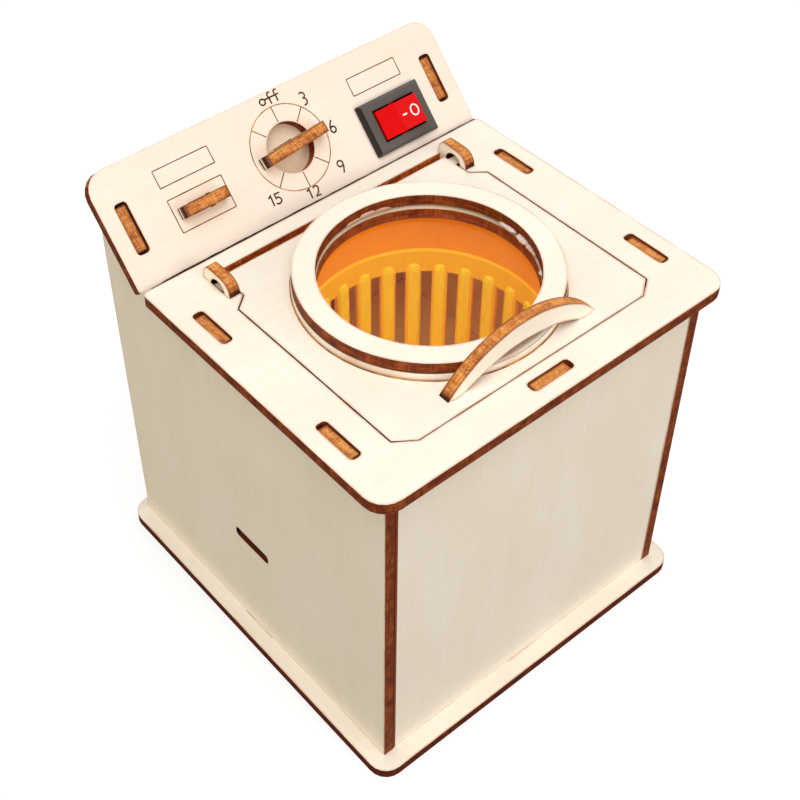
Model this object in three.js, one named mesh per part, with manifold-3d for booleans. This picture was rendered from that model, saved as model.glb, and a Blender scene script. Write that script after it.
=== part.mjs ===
// Toy washing machine of laser-cut plywood: a tab-and-slot cabinet, a hinged lid with a round
// window, a tilted control panel, and a motor-driven slotted drum.
// Millimetres. X to the right, Y to the rear, Z up. The origin is the centre of the base's underside.
import * as THREE from 'three';
import { mergeVertices } from 'three/addons/utils/BufferGeometryUtils.js';
import Module from 'manifold-3d';

const wasm = await Module();
wasm.setup();

// Sheet stock and fits
const sheet = 3.2;
const kerfGap = 0.05; // beside a tenon, across its thickness
const tenonEndGap = 0.9; // at each end of a tenon
const tenonShy = 0.7; // how far a tenon's end stays below the face that it comes through
const mortiseCorner = 1.1;
const seatGap = 0.2; // between pieces that meet on the tilted panel
const runGap = 0.25; // beside a piece that moves
const cutOver = 1; // how far a cutting solid runs past a face

// Cabinet
const bodyWidth = 104.74;
const bodyDepth = 112.94;
const bodyHeight = 106.9;
const baseSideMargin = 4.63; // base beyond the side panels
const baseFrontMargin = 5.16;
const baseRearMargin = 3.4;
const baseCorner = 5.5;
const frontRecess = 0.2; // front and rear panels behind the side panels' edges
const mortiseLength = 13.5;
const topMortiseShares = [0.2433, 0.7692]; // side panels' mortises, along the top plate
const rearPanelDrop = 14.9; // rear panel's top below the front panel's
const shelfUnder = 35.1; // shelf's underside above the base's upper face
const shelfTenonLength = 14.4;

// Top plate
const topOverhang = 4.16; // in front of the side panels
const topSideMargin = 4.83; // beyond the side panels
const topFrontCorner = 6;
const topRearCorner = 1.5;

// Control panel
const panelTilt = THREE.MathUtils.degToRad(46.87);
const panelSideMargin = 4.63; // beyond the side panels
const panelRearReach = 0.13; // behind the side panels
const panelLength = 32.1;
const panelTopCorner = 6;
const panelFootCorner = 0.8;
const panelSeam = 1.3; // between the top plate's rear edge and the panel's foot
const panelDrop = 0.97; // the face's lower edge below the top plate's face
const panelSlotFoot = 8.4;
const panelSlotLength = 14.2;
const dialHeight = 16; // the dial's centre, up the panel
const dialHole = 7.07;

// Lid
const lidSideStrip = 15.3; // top plate's edge to the lid
const lidFront = 10.7; // from the top plate's front edge
const openingRearStrip = 5.2; // opening to the top plate's rear edge
const lidRearGap = 2.15;
const lidSideGap = 0.4;
const lidTabLength = 9.5; // clears the hinge eyes' fronts as the lid rises
const lidTabInset = 4; // from the lid's side
const lidTabChamfer = 3.3;
const lidChamferWide = 5;
const lidChamferDeep = 3.65;
const ringSideMargin = 7.8; // lid's side to the ring
const ringEndMargin = 2.7; // lid's end to the ring, if the ring stood in its middle
const ringCut = 3.6; // taken off the ring behind the handle
const ringBreadth = 5.9;
const windowOver = 0.2; // window beyond the ring
const windowThick = 2.1;

// Handle
const handlePlace = 4.05; // from the lid's front edge
const handleHalfSpan = 24.3;
const handleHeight = 11.2;
const handleGapHalfSpan = 18.9;
const handleGapHeight = 5.1;
const handleTenonStart = 19.8;
const handleTenonEnd = 23;

// Hinge
const hingePlace = 3; // axis, from the lid's rear edge
const earLength = 3.3;
const eyeBore = 2.5;
const eyeCrown = 2.9; // the bore's rounded upper end
const eyeCrownRise = 1.15; // its centre above the axis
const eyeHeight = 4.1;
const eyeReachFront = 5.2; // from the axis
const eyeReachRear = 5.8;
const eyeDepth = 3; // below the top plate
const eyeShoulder = 3;
const eyeFrontRound = 3.8;
const eyeRearRound = 2.2;

// Lid rest
const restHalfWidth = 22;
const restLedge = 3; // behind the lid's front edge

// Knob
const knobTurn = THREE.MathUtils.degToRad(4.9);
const knobHalfLength = 10.3;
const knobHeight = 4.9;
const knobNeckHalf = 6.3;
const knobTenonHalf = 3;
const knobDiscRadius = 9.5;
const gripStepHigh = 1.7; // foot of a grip's stepped end
const gripStepDeep = 0.4;

// Drawer pull
const pullMargin = 19.6; // from the control panel's left edge
const pullLength = 13.65;
const pullHeight = 4.2;
const pullPlace = 13.2; // up the panel
const pullTenonHalf = 3.2;

// Rocker switch
const switchMargin = 23.5; // its middle, from the control panel's right edge
const switchHeight = 10.05; // its middle, up the panel
const bezelLength = 21.5;
const bezelWidth = 15.1;
const bezelFoot = 1.1;
const bezelHeight = 2.2;
const bezelBevel = 0.8;
const bezelCorner = 0.5;
const switchBodyLength = 18.9;
const switchBodyWidth = 12.6;
const switchBodyDepth = 12.4;
const wellLength = 14.6;
const wellWidth = 9.4;
const wellDepth = 8;
const latchReach = 0.7;
const latchHeight = 2.6;
const latchWidth = 5;
const rockerHalfLength = 6.6;
const rockerSideGap = 0.55;
const rockerCrease = 3.1; // middle of the rocker's top, above the panel's face
const rockerRise = THREE.MathUtils.degToRad(7.5); // each half's slope to its end
const rockerTip = THREE.MathUtils.degToRad(8.5); // tipped to the left at rest
const rockerPivot = 0.5; // above the panel's face
const rockerBottom = 5.4; // below the pivot
const rockerFootHalf = 3.6;
const rockerPin = 1;
const rockerPinReach = 1;
const bladeWidth = 4.8;
const bladeThick = 0.8;
const bladeReach = 7;
const bladeRoot = 1.6; // length inside the body
const bladeSpacing = 9;
const bladeEyelet = 0.8;

// Drum
const drumWall = 1.2;
const drumClear = 4.1; // drum's inner radius beyond the window's
const collarStep = 0.5; // collar's inner radius beyond the drum's
const drumTop = 7; // below the top plate's face, like the next three
const collarFoot = 17.7;
const ribTop = 22.5;
const slotTop = 25.4;
const slotFootHeight = 6; // above the drum's underside
const drumFloor = 1.6;
const drumFootRound = 3;
const slotCount = 28;
const slotWidth = 3;
const slotTurn = THREE.MathUtils.degToRad(47.9);
const ribRise = 1; // into the drum
const ribInset = 0.15; // a rib's edge inside the slot's edge

// Hub, shaft and motor
const hubFlangeRadius = 9;
const hubFlangeThick = 1.6;
const hubBossRadius = 4;
const hubBossLength = 3.4;
const hubGap = 0.8; // above the shelf
const shaftRadius = 1;
const shaftGap = 0.2;
const shaftTail = 0.8; // below the end cap
const canDiameter = 20.1;
const canAcross = 15.1; // between the flats
const canLength = 20;
const canBossRadius = 3.05;
const canBossHeight = 1.7;
const endCapLength = 5;
const endCapInset = 0.4;
const clampWall = 2.4;
const clampHeight = 12;
const clampEarThick = 3;
const clampEarWidth = 9;
const clampScrewSpacing = 33;
const clampGap = 0.2;
const screwRadius = 1.1;
const screwGap = 0.15;
const screwHeadRadius = 2.4;
const screwHeadHeight = 1.7;
const screwTip = 1.2;
const lugWidth = 2.4; // motor's solder lugs
const lugThick = 0.5;
const lugLength = 4.2;
const lugEyelet = 0.5;
const lugSpacing = 11;

// Batteries and their tray
const cellRadius = 7.1;
const cellLength = 49.2;
const nubRadius = 2.6;
const nubLength = 1.3;
const cellShoulder = 0.8;
const trayRearGap = 3.85; // to the rear panel
const trayWall = 1.5;
const trayHeight = 12.5;
const cellPitch = 15.4;
const cellGap = 0.3;
const contactThick = 0.5;
const contactWidth = 8;
const contactFoot = 3;
const contactHeight = 9.5;
const tabRise = 4; // solder tab above the tray's end

// Leads
const leadRadius = 0.7;
const leadHole = 3;
const leadHoleMargins = [36.2, 6.6]; // to the right side panel and to the rear panel
const leadHalfSpacing = 1.3; // in the hole
const leadBend = 3;
const leadTail = 17; // below the switch's terminals

// Facets
const cornerSteps = 5;
const smallCornerSteps = 3;
const roundSteps = 72;
const boreSteps = 24;
const drumSteps = slotCount * 3;
const leadSides = 8;
const ribSteps = 2;

// Places worked out from the sizes above
const baseWidth = bodyWidth + 2 * baseSideMargin;
const baseDepth = baseFrontMargin + bodyDepth + baseRearMargin;
const topWidth = bodyWidth + 2 * topSideMargin;
const panelWidth = bodyWidth + 2 * panelSideMargin;
const bodyFront = -baseDepth / 2 + baseFrontMargin;
const bodyRear = bodyFront + bodyDepth;
const bodyInside = bodyWidth / 2 - sheet; // half the width between the side panels
const sideMiddle = bodyWidth / 2 - sheet / 2;
const baseTop = sheet;
const topUnder = baseTop + bodyHeight;
const topFace = topUnder + sheet;
const topFront = bodyFront - topOverhang;
const panelRun = panelLength * Math.cos(panelTilt) + sheet * Math.sin(panelTilt);
const topRear = bodyRear + panelRearReach - panelRun - panelSeam;
const topDepth = topRear - topFront;
const frontPanelFace = bodyFront + frontRecess;
const frontPanelInside = frontPanelFace + sheet;
const rearPanelFace = bodyRear - frontRecess;
const rearPanelInside = rearPanelFace - sheet;
const shelfFoot = baseTop + shelfUnder;
const shelfTop = shelfFoot + sheet;
const openingRear = topRear - openingRearStrip;
const lidFrontY = topFront + lidFront;
const lidRearY = openingRear - lidRearGap;
const lidHalfWidth = topWidth / 2 - lidSideStrip;
const lidTabHalfWidth = lidHalfWidth - lidTabInset;
const lidTabY = lidRearY - lidTabLength;
const ringRadius = Math.min(lidHalfWidth - ringSideMargin, (lidRearY - lidFrontY) / 2 - ringEndMargin);
const windowHole = ringRadius - ringBreadth;
const windowRadius = ringRadius + windowOver;
const handleY = lidFrontY + handlePlace;
const windowY = handleY + sheet + runGap + ringRadius - ringCut;
const hingeY = lidRearY - hingePlace;
const hingeZ = topFace - sheet / 2;
const tenonLength = mortiseLength - 2 * tenonEndGap;
const topMortises = topMortiseShares.map((share) => topFront + share * topDepth);
const switchX = panelWidth / 2 - switchMargin;
const pullLeft = pullMargin - panelWidth / 2;
const drumInner = windowHole + drumClear;
const drumUnder = shelfTop + hubGap + hubBossLength + hubFlangeThick;
const leadHolePlace = [bodyInside - leadHoleMargins[0], rearPanelInside - leadHoleMargins[1]];
const panelFoot = { y: topRear + panelSeam, z: topFace - panelDrop };

// A point of the control panel: v up its face, h out of its face
function onPanel(v, h) {
  return new THREE.Vector2(
    panelFoot.y + v * Math.cos(panelTilt) - h * Math.sin(panelTilt),
    panelFoot.z + v * Math.sin(panelTilt) + h * Math.cos(panelTilt),
  );
}

// Materials
function material(color, roughness, metalness = 0, more = {}) {
  return new THREE.MeshStandardMaterial({ color, roughness, metalness, ...more });
}
const plywood = material(0xf3e2c4, 0.7);
const clearSheet = material(0xf4f6f4, 0.08, 0, { transparent: true, opacity: 0.25 });
const orangePlastic = material(0xff9a2a, 0.35);
const blackPlastic = material(0x26272a, 0.45);
const redPlastic = material(0xe0101c, 0.25);
const whitePlastic = material(0xf0eee6, 0.5);
const steel = material(0xb9bcc0, 0.3, 1);
const brassMetal = material(0xc9a455, 0.35, 1);
const batteryJacket = material(0x3b6b4a, 0.4);
const redLead = material(0xc22020, 0.5);
const blackLead = material(0x202020, 0.5);

// Outlines, as lists of points
function arcPoints(centre, radius, from, to, steps) {
  const points = [];
  for (let i = 0; i <= steps; i += 1) {
    const angle = from + ((to - from) * i) / steps;
    const u = centre.x + radius * Math.cos(angle);
    const v = centre.y + radius * Math.sin(angle);
    points.push(new THREE.Vector2(u, v));
  }
  return points;
}

function circlePoints(radius, steps, centre = new THREE.Vector2()) {
  return arcPoints(centre, radius, 0, 2 * Math.PI, steps).slice(0, -1);
}

// Corners are [u, v] or [u, v, radius]; a corner with a radius is rounded
function cornered(corners, steps = cornerSteps) {
  const points = [];
  corners.forEach(([u, v, radius], i) => {
    const corner = new THREE.Vector2(u, v);
    if (!radius) {
      points.push(corner);
      return;
    }
    const before = corners[(i + corners.length - 1) % corners.length];
    const after = corners[(i + 1) % corners.length];
    const back = new THREE.Vector2(before[0] - u, before[1] - v).normalize();
    const ahead = new THREE.Vector2(after[0] - u, after[1] - v).normalize();
    const half = Math.acos(back.dot(ahead)) / 2;
    const centre = back.clone().add(ahead).normalize();
    centre.multiplyScalar(radius / Math.sin(half)).add(corner);
    const first = corner.clone().addScaledVector(back, radius / Math.tan(half)).sub(centre);
    const last = corner.clone().addScaledVector(ahead, radius / Math.tan(half)).sub(centre);
    const turn = Math.atan2(first.cross(last), first.dot(last));
    points.push(...arcPoints(centre, radius, first.angle(), first.angle() + turn, steps));
  });
  return points;
}

function rectangle(width, height, radius = 0, centreU = 0, centreV = 0, steps = cornerSteps) {
  const [left, right] = [centreU - width / 2, centreU + width / 2];
  const [low, high] = [centreV - height / 2, centreV + height / 2];
  const corners = [[left, low, radius], [right, low, radius], [right, high, radius], [left, high, radius]];
  return cornered(corners, steps);
}

function mortise(length, centreU, centreV, upright = false) {
  const across = sheet + 2 * kerfGap;
  const [width, height] = upright ? [across, length] : [length, across];
  return rectangle(width, height, mortiseCorner, centreU, centreV, smallCornerSteps);
}

// Solids
function board(outline, thickness, holes = []) {
  const shape = new THREE.Shape(outline);
  shape.holes = holes.map((hole) => new THREE.Path(hole));
  return new THREE.ExtrudeGeometry(shape, { depth: thickness, bevelEnabled: false });
}

// Turns of a board: its outline's u and v, and its thickness, along these directions
const right = new THREE.Vector3(1, 0, 0);
const rearward = new THREE.Vector3(0, 1, 0);
const upward = new THREE.Vector3(0, 0, 1);
const forward = rearward.clone().negate();
const sideways = new THREE.Matrix4().makeBasis(rearward, upward, right);
const frontways = new THREE.Matrix4().makeBasis(right, upward, forward);

function turned(profile, steps) {
  return new THREE.LatheGeometry(profile, steps).rotateX(Math.PI / 2);
}

function profile(points) {
  return points.map(([r, z]) => new THREE.Vector2(r, z));
}

function solid(geometry) {
  const bare = geometry.clone();
  bare.deleteAttribute('normal');
  bare.deleteAttribute('uv');
  const merged = mergeVertices(bare);
  const corners = merged.index.array;
  const triangles = [];
  for (let i = 0; i < corners.length; i += 3) {
    const [a, b, c] = corners.slice(i, i + 3);
    if (a !== b && b !== c && c !== a) triangles.push(a, b, c); // not those folded onto the axis
  }
  const vertProperties = new Float32Array(merged.attributes.position.array);
  const triVerts = new Uint32Array(triangles);
  return new wasm.Manifold(new wasm.Mesh({ numProp: 3, vertProperties, triVerts }));
}

function surface(manifold) {
  const mesh = manifold.getMesh();
  const geometry = new THREE.BufferGeometry();
  geometry.setAttribute('position', new THREE.BufferAttribute(mesh.vertProperties, 3));
  geometry.setIndex(new THREE.BufferAttribute(mesh.triVerts, 1));
  geometry.computeVertexNormals();
  return geometry;
}

const group = new THREE.Group();
const panelGroup = new THREE.Group();
panelGroup.position.set(0, panelFoot.y, panelFoot.z);
panelGroup.rotation.x = panelTilt;
group.add(panelGroup);

function place(name, geometry, look, position = [0, 0, 0], parent = group) {
  const mesh = new THREE.Mesh(geometry, look);
  mesh.name = name;
  mesh.position.set(...position);
  parent.add(mesh);
  return mesh;
}

// Cabinet
function basePlate() {
  const holes = [-1, 1].map((side) => mortise(mortiseLength, side * sideMiddle, 0, true));
  holes.push(mortise(mortiseLength, 0, frontPanelFace + sheet / 2));
  holes.push(mortise(mortiseLength, 0, rearPanelFace - sheet / 2));
  return board(rectangle(baseWidth, baseDepth, baseCorner), sheet, holes);
}

function tenonUp(centre, foot, end) {
  const [near, far] = [centre + tenonLength / 2, centre - tenonLength / 2];
  return [[near, foot], [near, end], [far, end], [far, foot]];
}

function sidePanel() {
  const edge = -sheet - seatGap; // slanted edge, below the control panel's face
  const slope = Math.tan(panelTilt);
  const start = onPanel(0, edge);
  const footY = start.x + (topUnder - start.y) / slope;
  const rearZ = start.y + (bodyRear - start.x) * slope;
  const slotMiddle = panelSlotFoot + panelSlotLength / 2;
  const slotHalf = panelSlotLength / 2 - tenonEndGap;
  const slanted = [
    onPanel(slotMiddle + slotHalf, edge),
    onPanel(slotMiddle + slotHalf, -tenonShy),
    onPanel(slotMiddle - slotHalf, -tenonShy),
    onPanel(slotMiddle - slotHalf, edge),
  ].map((point) => [point.x, point.y]);
  const tops = topMortises.map((at) => tenonUp(at, topUnder, topFace - tenonShy));
  const outline = [
    [bodyFront, baseTop],
    ...tenonUp(0, baseTop, tenonShy).reverse(),
    [bodyRear, baseTop],
    [bodyRear, rearZ],
    ...slanted,
    [footY, topUnder],
    ...tops.reverse().flat(),
    [bodyFront, topUnder],
  ];
  const across = sheet + 2 * kerfGap;
  const shelfMiddle = shelfFoot + sheet / 2;
  const slot = rectangle(shelfTenonLength, across, mortiseCorner, 0, shelfMiddle, smallCornerSteps);
  return board(cornered(outline), sheet, [slot]).applyMatrix4(sideways);
}

function endPanel(height, joinsTop) {
  const half = bodyInside - kerfGap;
  const head = joinsTop ? tenonUp(0, topUnder, topFace - tenonShy) : [];
  const outline = [
    [-half, baseTop],
    ...tenonUp(0, baseTop, tenonShy).reverse(),
    [half, baseTop],
    [half, baseTop + height],
    ...head,
    [-half, baseTop + height],
  ];
  return board(cornered(outline), sheet).applyMatrix4(frontways);
}

function motorShelf() {
  const half = bodyInside - kerfGap;
  const reach = bodyWidth / 2 - tenonShy;
  const low = frontPanelInside + kerfGap;
  const high = rearPanelInside - seatGap;
  const tenonHalf = shelfTenonLength / 2 - tenonEndGap;
  const outline = [
    [-half, low], [half, low],
    [half, -tenonHalf], [reach, -tenonHalf], [reach, tenonHalf], [half, tenonHalf],
    [half, high], [-half, high],
    [-half, tenonHalf], [-reach, tenonHalf], [-reach, -tenonHalf], [-half, -tenonHalf],
  ];
  const axis = new THREE.Vector2(0, windowY);
  const holes = [circlePoints(canBossRadius + seatGap, boreSteps, axis)];
  for (const side of [-1, 1]) {
    const at = new THREE.Vector2((side * clampScrewSpacing) / 2, windowY);
    holes.push(circlePoints(screwRadius + screwGap, boreSteps / 2, at));
  }
  holes.push(circlePoints(leadHole, boreSteps, new THREE.Vector2(...leadHolePlace)));
  return board(cornered(outline), sheet, holes);
}

// The lid's opening, with a bay at each rear corner for a hinge eye
function openingOutline() {
  const side = lidHalfWidth + lidSideGap;
  const front = lidFrontY - runGap;
  const chamferWide = lidHalfWidth - lidChamferWide;
  const tab = lidTabHalfWidth + runGap;
  const bayOut = tab + sheet + 2 * kerfGap;
  const bayFront = hingeY - eyeReachFront - kerfGap;
  const bayRear = hingeY + eyeReachRear + kerfGap;
  const half = [
    [chamferWide, front],
    [side, front + lidChamferDeep],
    [side, lidTabY - lidTabChamfer + runGap],
    [tab, lidTabY + runGap],
    [tab, bayFront],
    [bayOut, bayFront],
    [bayOut, bayRear],
    [tab, bayRear],
    [tab, openingRear],
  ];
  const mirrored = half.map(([u, v]) => [-u, v]).reverse();
  return cornered([...half, ...mirrored]);
}

function topPlate() {
  const half = topWidth / 2;
  const outline = cornered([
    [-half, topFront, topFrontCorner],
    [half, topFront, topFrontCorner],
    [half, topRear, topRearCorner],
    [-half, topRear, topRearCorner],
  ]);
  const holes = [openingOutline(), mortise(mortiseLength, 0, frontPanelFace + sheet / 2)];
  for (const side of [-1, 1]) {
    for (const at of topMortises) {
      holes.push(mortise(mortiseLength, side * sideMiddle, at, true));
    }
  }
  return board(outline, sheet, holes);
}

function controlPanel() {
  const half = panelWidth / 2;
  const outline = cornered([
    [-half, 0, panelFootCorner],
    [half, 0, panelFootCorner],
    [half, panelLength, panelTopCorner],
    [-half, panelLength, panelTopCorner],
  ]);
  const slotAcross = sheet + 2 * runGap;
  const slotMiddle = panelSlotFoot + panelSlotLength / 2;
  const holes = [circlePoints(dialHole, boreSteps * 2, new THREE.Vector2(0, dialHeight))];
  for (const side of [-1, 1]) {
    holes.push(rectangle(slotAcross, panelSlotLength, mortiseCorner, side * sideMiddle, slotMiddle));
  }
  const cutLength = switchBodyLength + 2 * seatGap;
  const cutWidth = switchBodyWidth + 2 * seatGap;
  holes.push(rectangle(cutLength, cutWidth, 0, switchX, switchHeight));
  const pullMiddle = pullLeft + pullLength / 2;
  holes.push(rectangle(2 * (pullTenonHalf + seatGap), slotAcross, 0, pullMiddle, pullPlace));
  return board(outline, sheet, holes);
}

function lidRestStrip() {
  const low = frontPanelInside + kerfGap;
  const high = lidFrontY + restLedge;
  return board(rectangle(2 * restHalfWidth, high - low, 0, 0, (low + high) / 2), sheet);
}

// Hinge eye: v is measured from the lid's axis
function hingeEye() {
  const plateFace = sheet / 2;
  const plateFoot = -sheet / 2;
  const outline = cornered([
    [-eyeReachFront, plateFoot - eyeDepth],
    [eyeReachRear + eyeShoulder, plateFoot - eyeDepth],
    [eyeReachRear + eyeShoulder, plateFoot],
    [eyeReachRear, plateFoot],
    [eyeReachRear, plateFace + eyeHeight, eyeRearRound],
    [-eyeReachFront, plateFace + eyeHeight, eyeFrontRound],
  ]);
  const crown = new THREE.Vector2(0, eyeCrownRise);
  const bore = [
    ...arcPoints(new THREE.Vector2(), eyeBore, Math.PI, 2 * Math.PI, boreSteps / 2),
    ...arcPoints(crown, eyeCrown, 0, Math.PI, boreSteps / 2),
  ];
  return board(outline, sheet, [bore]).applyMatrix4(sideways);
}

// Lid
function lidPanel() {
  const chamferWide = lidHalfWidth - lidChamferWide;
  const earEnd = lidTabHalfWidth + earLength;
  const half = [
    [chamferWide, lidFrontY],
    [lidHalfWidth, lidFrontY + lidChamferDeep],
    [lidHalfWidth, lidTabY - lidTabChamfer],
    [lidTabHalfWidth, lidTabY],
    [lidTabHalfWidth, hingeY - sheet / 2],
    [earEnd, hingeY - sheet / 2],
    [earEnd, hingeY + sheet / 2],
    [lidTabHalfWidth, hingeY + sheet / 2],
    [lidTabHalfWidth, lidRearY],
  ];
  const mirrored = half.map(([u, v]) => [-u, v]).reverse();
  const holes = [circlePoints(windowHole, roundSteps, new THREE.Vector2(0, windowY))];
  const slotLength = handleTenonEnd - handleTenonStart + 2 * kerfGap;
  for (const side of [-1, 1]) {
    const middle = (side * (handleTenonStart + handleTenonEnd)) / 2;
    holes.push(rectangle(slotLength, sheet + 2 * kerfGap, 0, middle, handleY + sheet / 2));
  }
  let panel = solid(board(cornered([...half, ...mirrored]), sheet));
  for (const hole of holes) {
    panel = panel.subtract(solid(board(hole, sheet + 2 * cutOver).translate(0, 0, -cutOver)));
  }
  return surface(panel);
}

// The ring is cut straight just behind the handle
function lidRing() {
  const half = Math.acos((ringRadius - ringCut) / ringRadius);
  const start = half - Math.PI / 2;
  const end = start + 2 * (Math.PI - half);
  const outline = arcPoints(new THREE.Vector2(), ringRadius, start, end, roundSteps);
  return board(outline, sheet, [circlePoints(windowHole, roundSteps)]);
}

// Points of an arc that spans -half to half and rises to height
function archPoints(half, height, steps) {
  const radius = (half * half + height * height) / (2 * height);
  const reach = Math.asin(half / radius);
  const centre = new THREE.Vector2(0, height - radius);
  return arcPoints(centre, radius, Math.PI / 2 - reach, Math.PI / 2 + reach, steps);
}

function lidHandle() {
  const tenonEnd = tenonShy - sheet;
  const foot = (side) => [
    [side * handleTenonEnd, 0],
    [side * handleTenonEnd, tenonEnd],
    [side * handleTenonStart, tenonEnd],
    [side * handleTenonStart, 0],
  ];
  const outline = [
    ...archPoints(handleHalfSpan, handleHeight, roundSteps / 2),
    ...cornered(foot(-1)),
    ...archPoints(handleGapHalfSpan, handleGapHeight, roundSteps / 3).reverse(),
    ...cornered(foot(1).reverse()),
  ];
  return board(outline, sheet).applyMatrix4(frontways);
}

// Grips on the control panel: upright strips with stepped ends
function gripTop(left, rightEnd, low, height) {
  const step = low + gripStepHigh;
  return {
    rightSide: [[rightEnd, low], [rightEnd, step], [rightEnd - gripStepDeep, step], [rightEnd - gripStepDeep, height]],
    leftSide: [[left + gripStepDeep, height], [left + gripStepDeep, step], [left, step], [left, low]],
  };
}

function drawerPull() {
  const middle = pullLeft + pullLength / 2;
  const sides = gripTop(pullLeft, pullLeft + pullLength, seatGap, pullHeight);
  const outline = [
    [middle - pullTenonHalf, seatGap],
    [middle - pullTenonHalf, -sheet],
    [middle + pullTenonHalf, -sheet],
    [middle + pullTenonHalf, seatGap],
    ...sides.rightSide,
    ...sides.leftSide,
  ];
  return board(cornered(outline), sheet).applyMatrix4(frontways);
}

function knobBar() {
  const sides = gripTop(-knobHalfLength, knobHalfLength, seatGap, knobHeight);
  const neckEnd = -sheet;
  const tenonEnd = neckEnd - seatGap - sheet;
  const outline = [
    [-knobNeckHalf, seatGap],
    [-knobNeckHalf, neckEnd],
    [-knobTenonHalf, neckEnd],
    [-knobTenonHalf, tenonEnd],
    [knobTenonHalf, tenonEnd],
    [knobTenonHalf, neckEnd],
    [knobNeckHalf, neckEnd],
    [knobNeckHalf, seatGap],
    ...sides.rightSide,
    ...sides.leftSide,
  ];
  return board(cornered(outline), sheet).applyMatrix4(frontways);
}

function knobDisc() {
  const slot = rectangle(2 * (knobTenonHalf + seatGap), sheet + 2 * seatGap);
  return board(circlePoints(knobDiscRadius, boreSteps * 2), sheet, [slot]);
}

// Rocker switch, about the middle of its bezel
function bezelSolid() {
  const top = rectangle(bezelLength - 2 * bezelBevel, bezelWidth - 2 * bezelBevel);
  const bevelThickness = bezelHeight - bezelFoot;
  const both = new THREE.ExtrudeGeometry(new THREE.Shape(top), {
    depth: bezelFoot,
    bevelThickness,
    bevelSize: bezelBevel,
    bevelSegments: 1,
  });
  const below = board(rectangle(bezelLength + 2 * cutOver, bezelWidth + 2 * cutOver), 2 * bezelHeight);
  below.translate(0, 0, seatGap - 2 * bezelHeight);
  const upright = board(rectangle(bezelLength, bezelWidth, bezelCorner), 2 * bezelHeight);
  return solid(both).intersect(solid(upright)).subtract(solid(below));
}

function latchSolid(side) {
  const [near, far] = [switchBodyLength / 2, switchBodyLength / 2 + latchReach];
  const top = -sheet - seatGap;
  const outline = cornered([[near - cutOver, top], [far, top], [near, top - latchHeight], [near - cutOver, top - latchHeight]]);
  const wedge = board(outline, latchWidth).applyMatrix4(frontways).translate(0, latchWidth / 2, 0);
  return solid(side > 0 ? wedge : wedge.rotateZ(Math.PI));
}

function switchHousing() {
  const body = board(rectangle(switchBodyLength, switchBodyWidth), switchBodyDepth + bezelFoot);
  body.translate(0, 0, -switchBodyDepth);
  const well = board(rectangle(wellLength, wellWidth), wellDepth + bezelHeight + cutOver);
  well.translate(0, 0, -wellDepth);
  const holeRadius = rockerPin + runGap;
  const holeLength = wellWidth + 2 * (rockerPinReach + runGap);
  const pinHole = new THREE.CylinderGeometry(holeRadius, holeRadius, holeLength, boreSteps);
  pinHole.translate(0, 0, rockerPivot);
  let housing = bezelSolid().add(solid(body));
  for (const side of [-1, 1]) {
    housing = housing.add(latchSolid(side));
    const slot = new THREE.BoxGeometry(bladeThick + 2 * runGap, bladeWidth + 2 * runGap, 2 * bladeRoot);
    slot.translate((side * bladeSpacing) / 2, 0, -switchBodyDepth);
    housing = housing.subtract(solid(slot));
  }
  return surface(housing.subtract(solid(well)).subtract(solid(pinHole)));
}

// Rocker, about its pivot
function switchRocker() {
  const crease = rockerCrease - rockerPivot;
  const end = crease + rockerHalfLength * Math.tan(rockerRise);
  const outline = cornered([
    [-rockerHalfLength, end],
    [-rockerHalfLength, rockerPin],
    [-rockerFootHalf, -rockerBottom],
    [rockerFootHalf, -rockerBottom],
    [rockerHalfLength, rockerPin],
    [rockerHalfLength, end],
    [0, crease],
  ]);
  const width = wellWidth - 2 * rockerSideGap;
  const block = board(outline, width).applyMatrix4(frontways).translate(0, width / 2, 0);
  const pinLength = wellWidth + 2 * rockerPinReach;
  const pin = new THREE.CylinderGeometry(rockerPin, rockerPin, pinLength, boreSteps);
  return surface(solid(block).add(solid(pin)));
}

function switchTerminal() {
  const top = bladeRoot - runGap;
  const middle = (top - bladeReach) / 2;
  const eyelet = new THREE.Vector2(0, -bladeReach + bladeWidth / 2);
  const outline = rectangle(bladeWidth, top + bladeReach, 0, 0, middle);
  const blade = board(outline, bladeThick, [circlePoints(bladeEyelet, boreSteps / 2, eyelet)]);
  return blade.applyMatrix4(sideways).translate(-bladeThick / 2, 0, 0);
}

// Drum, about its axis, with Z as in the cabinet
function drumShell() {
  const [top, step] = [topFace - drumTop, topFace - collarFoot];
  const foot = drumUnder;
  const collar = drumInner + collarStep;
  const outer = drumInner + drumWall;
  const outerRound = new THREE.Vector2(outer - drumFootRound, foot + drumFootRound);
  const innerRound = drumFootRound - drumWall;
  const innerCentre = new THREE.Vector2(drumInner - innerRound, foot + drumFloor + innerRound);
  const outline = [
    new THREE.Vector2(0, foot),
    ...arcPoints(outerRound, drumFootRound, -Math.PI / 2, 0, smallCornerSteps),
    ...profile([
      [outer, step - drumWall],
      [collar + drumWall, step],
      [collar + drumWall, top],
      [collar, top],
      [collar, step],
      [drumInner, step - collarStep],
    ]),
    ...arcPoints(innerCentre, innerRound, 0, -Math.PI / 2, smallCornerSteps),
    new THREE.Vector2(0, foot + drumFloor),
  ];
  return turned(outline, drumSteps);
}

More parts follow.
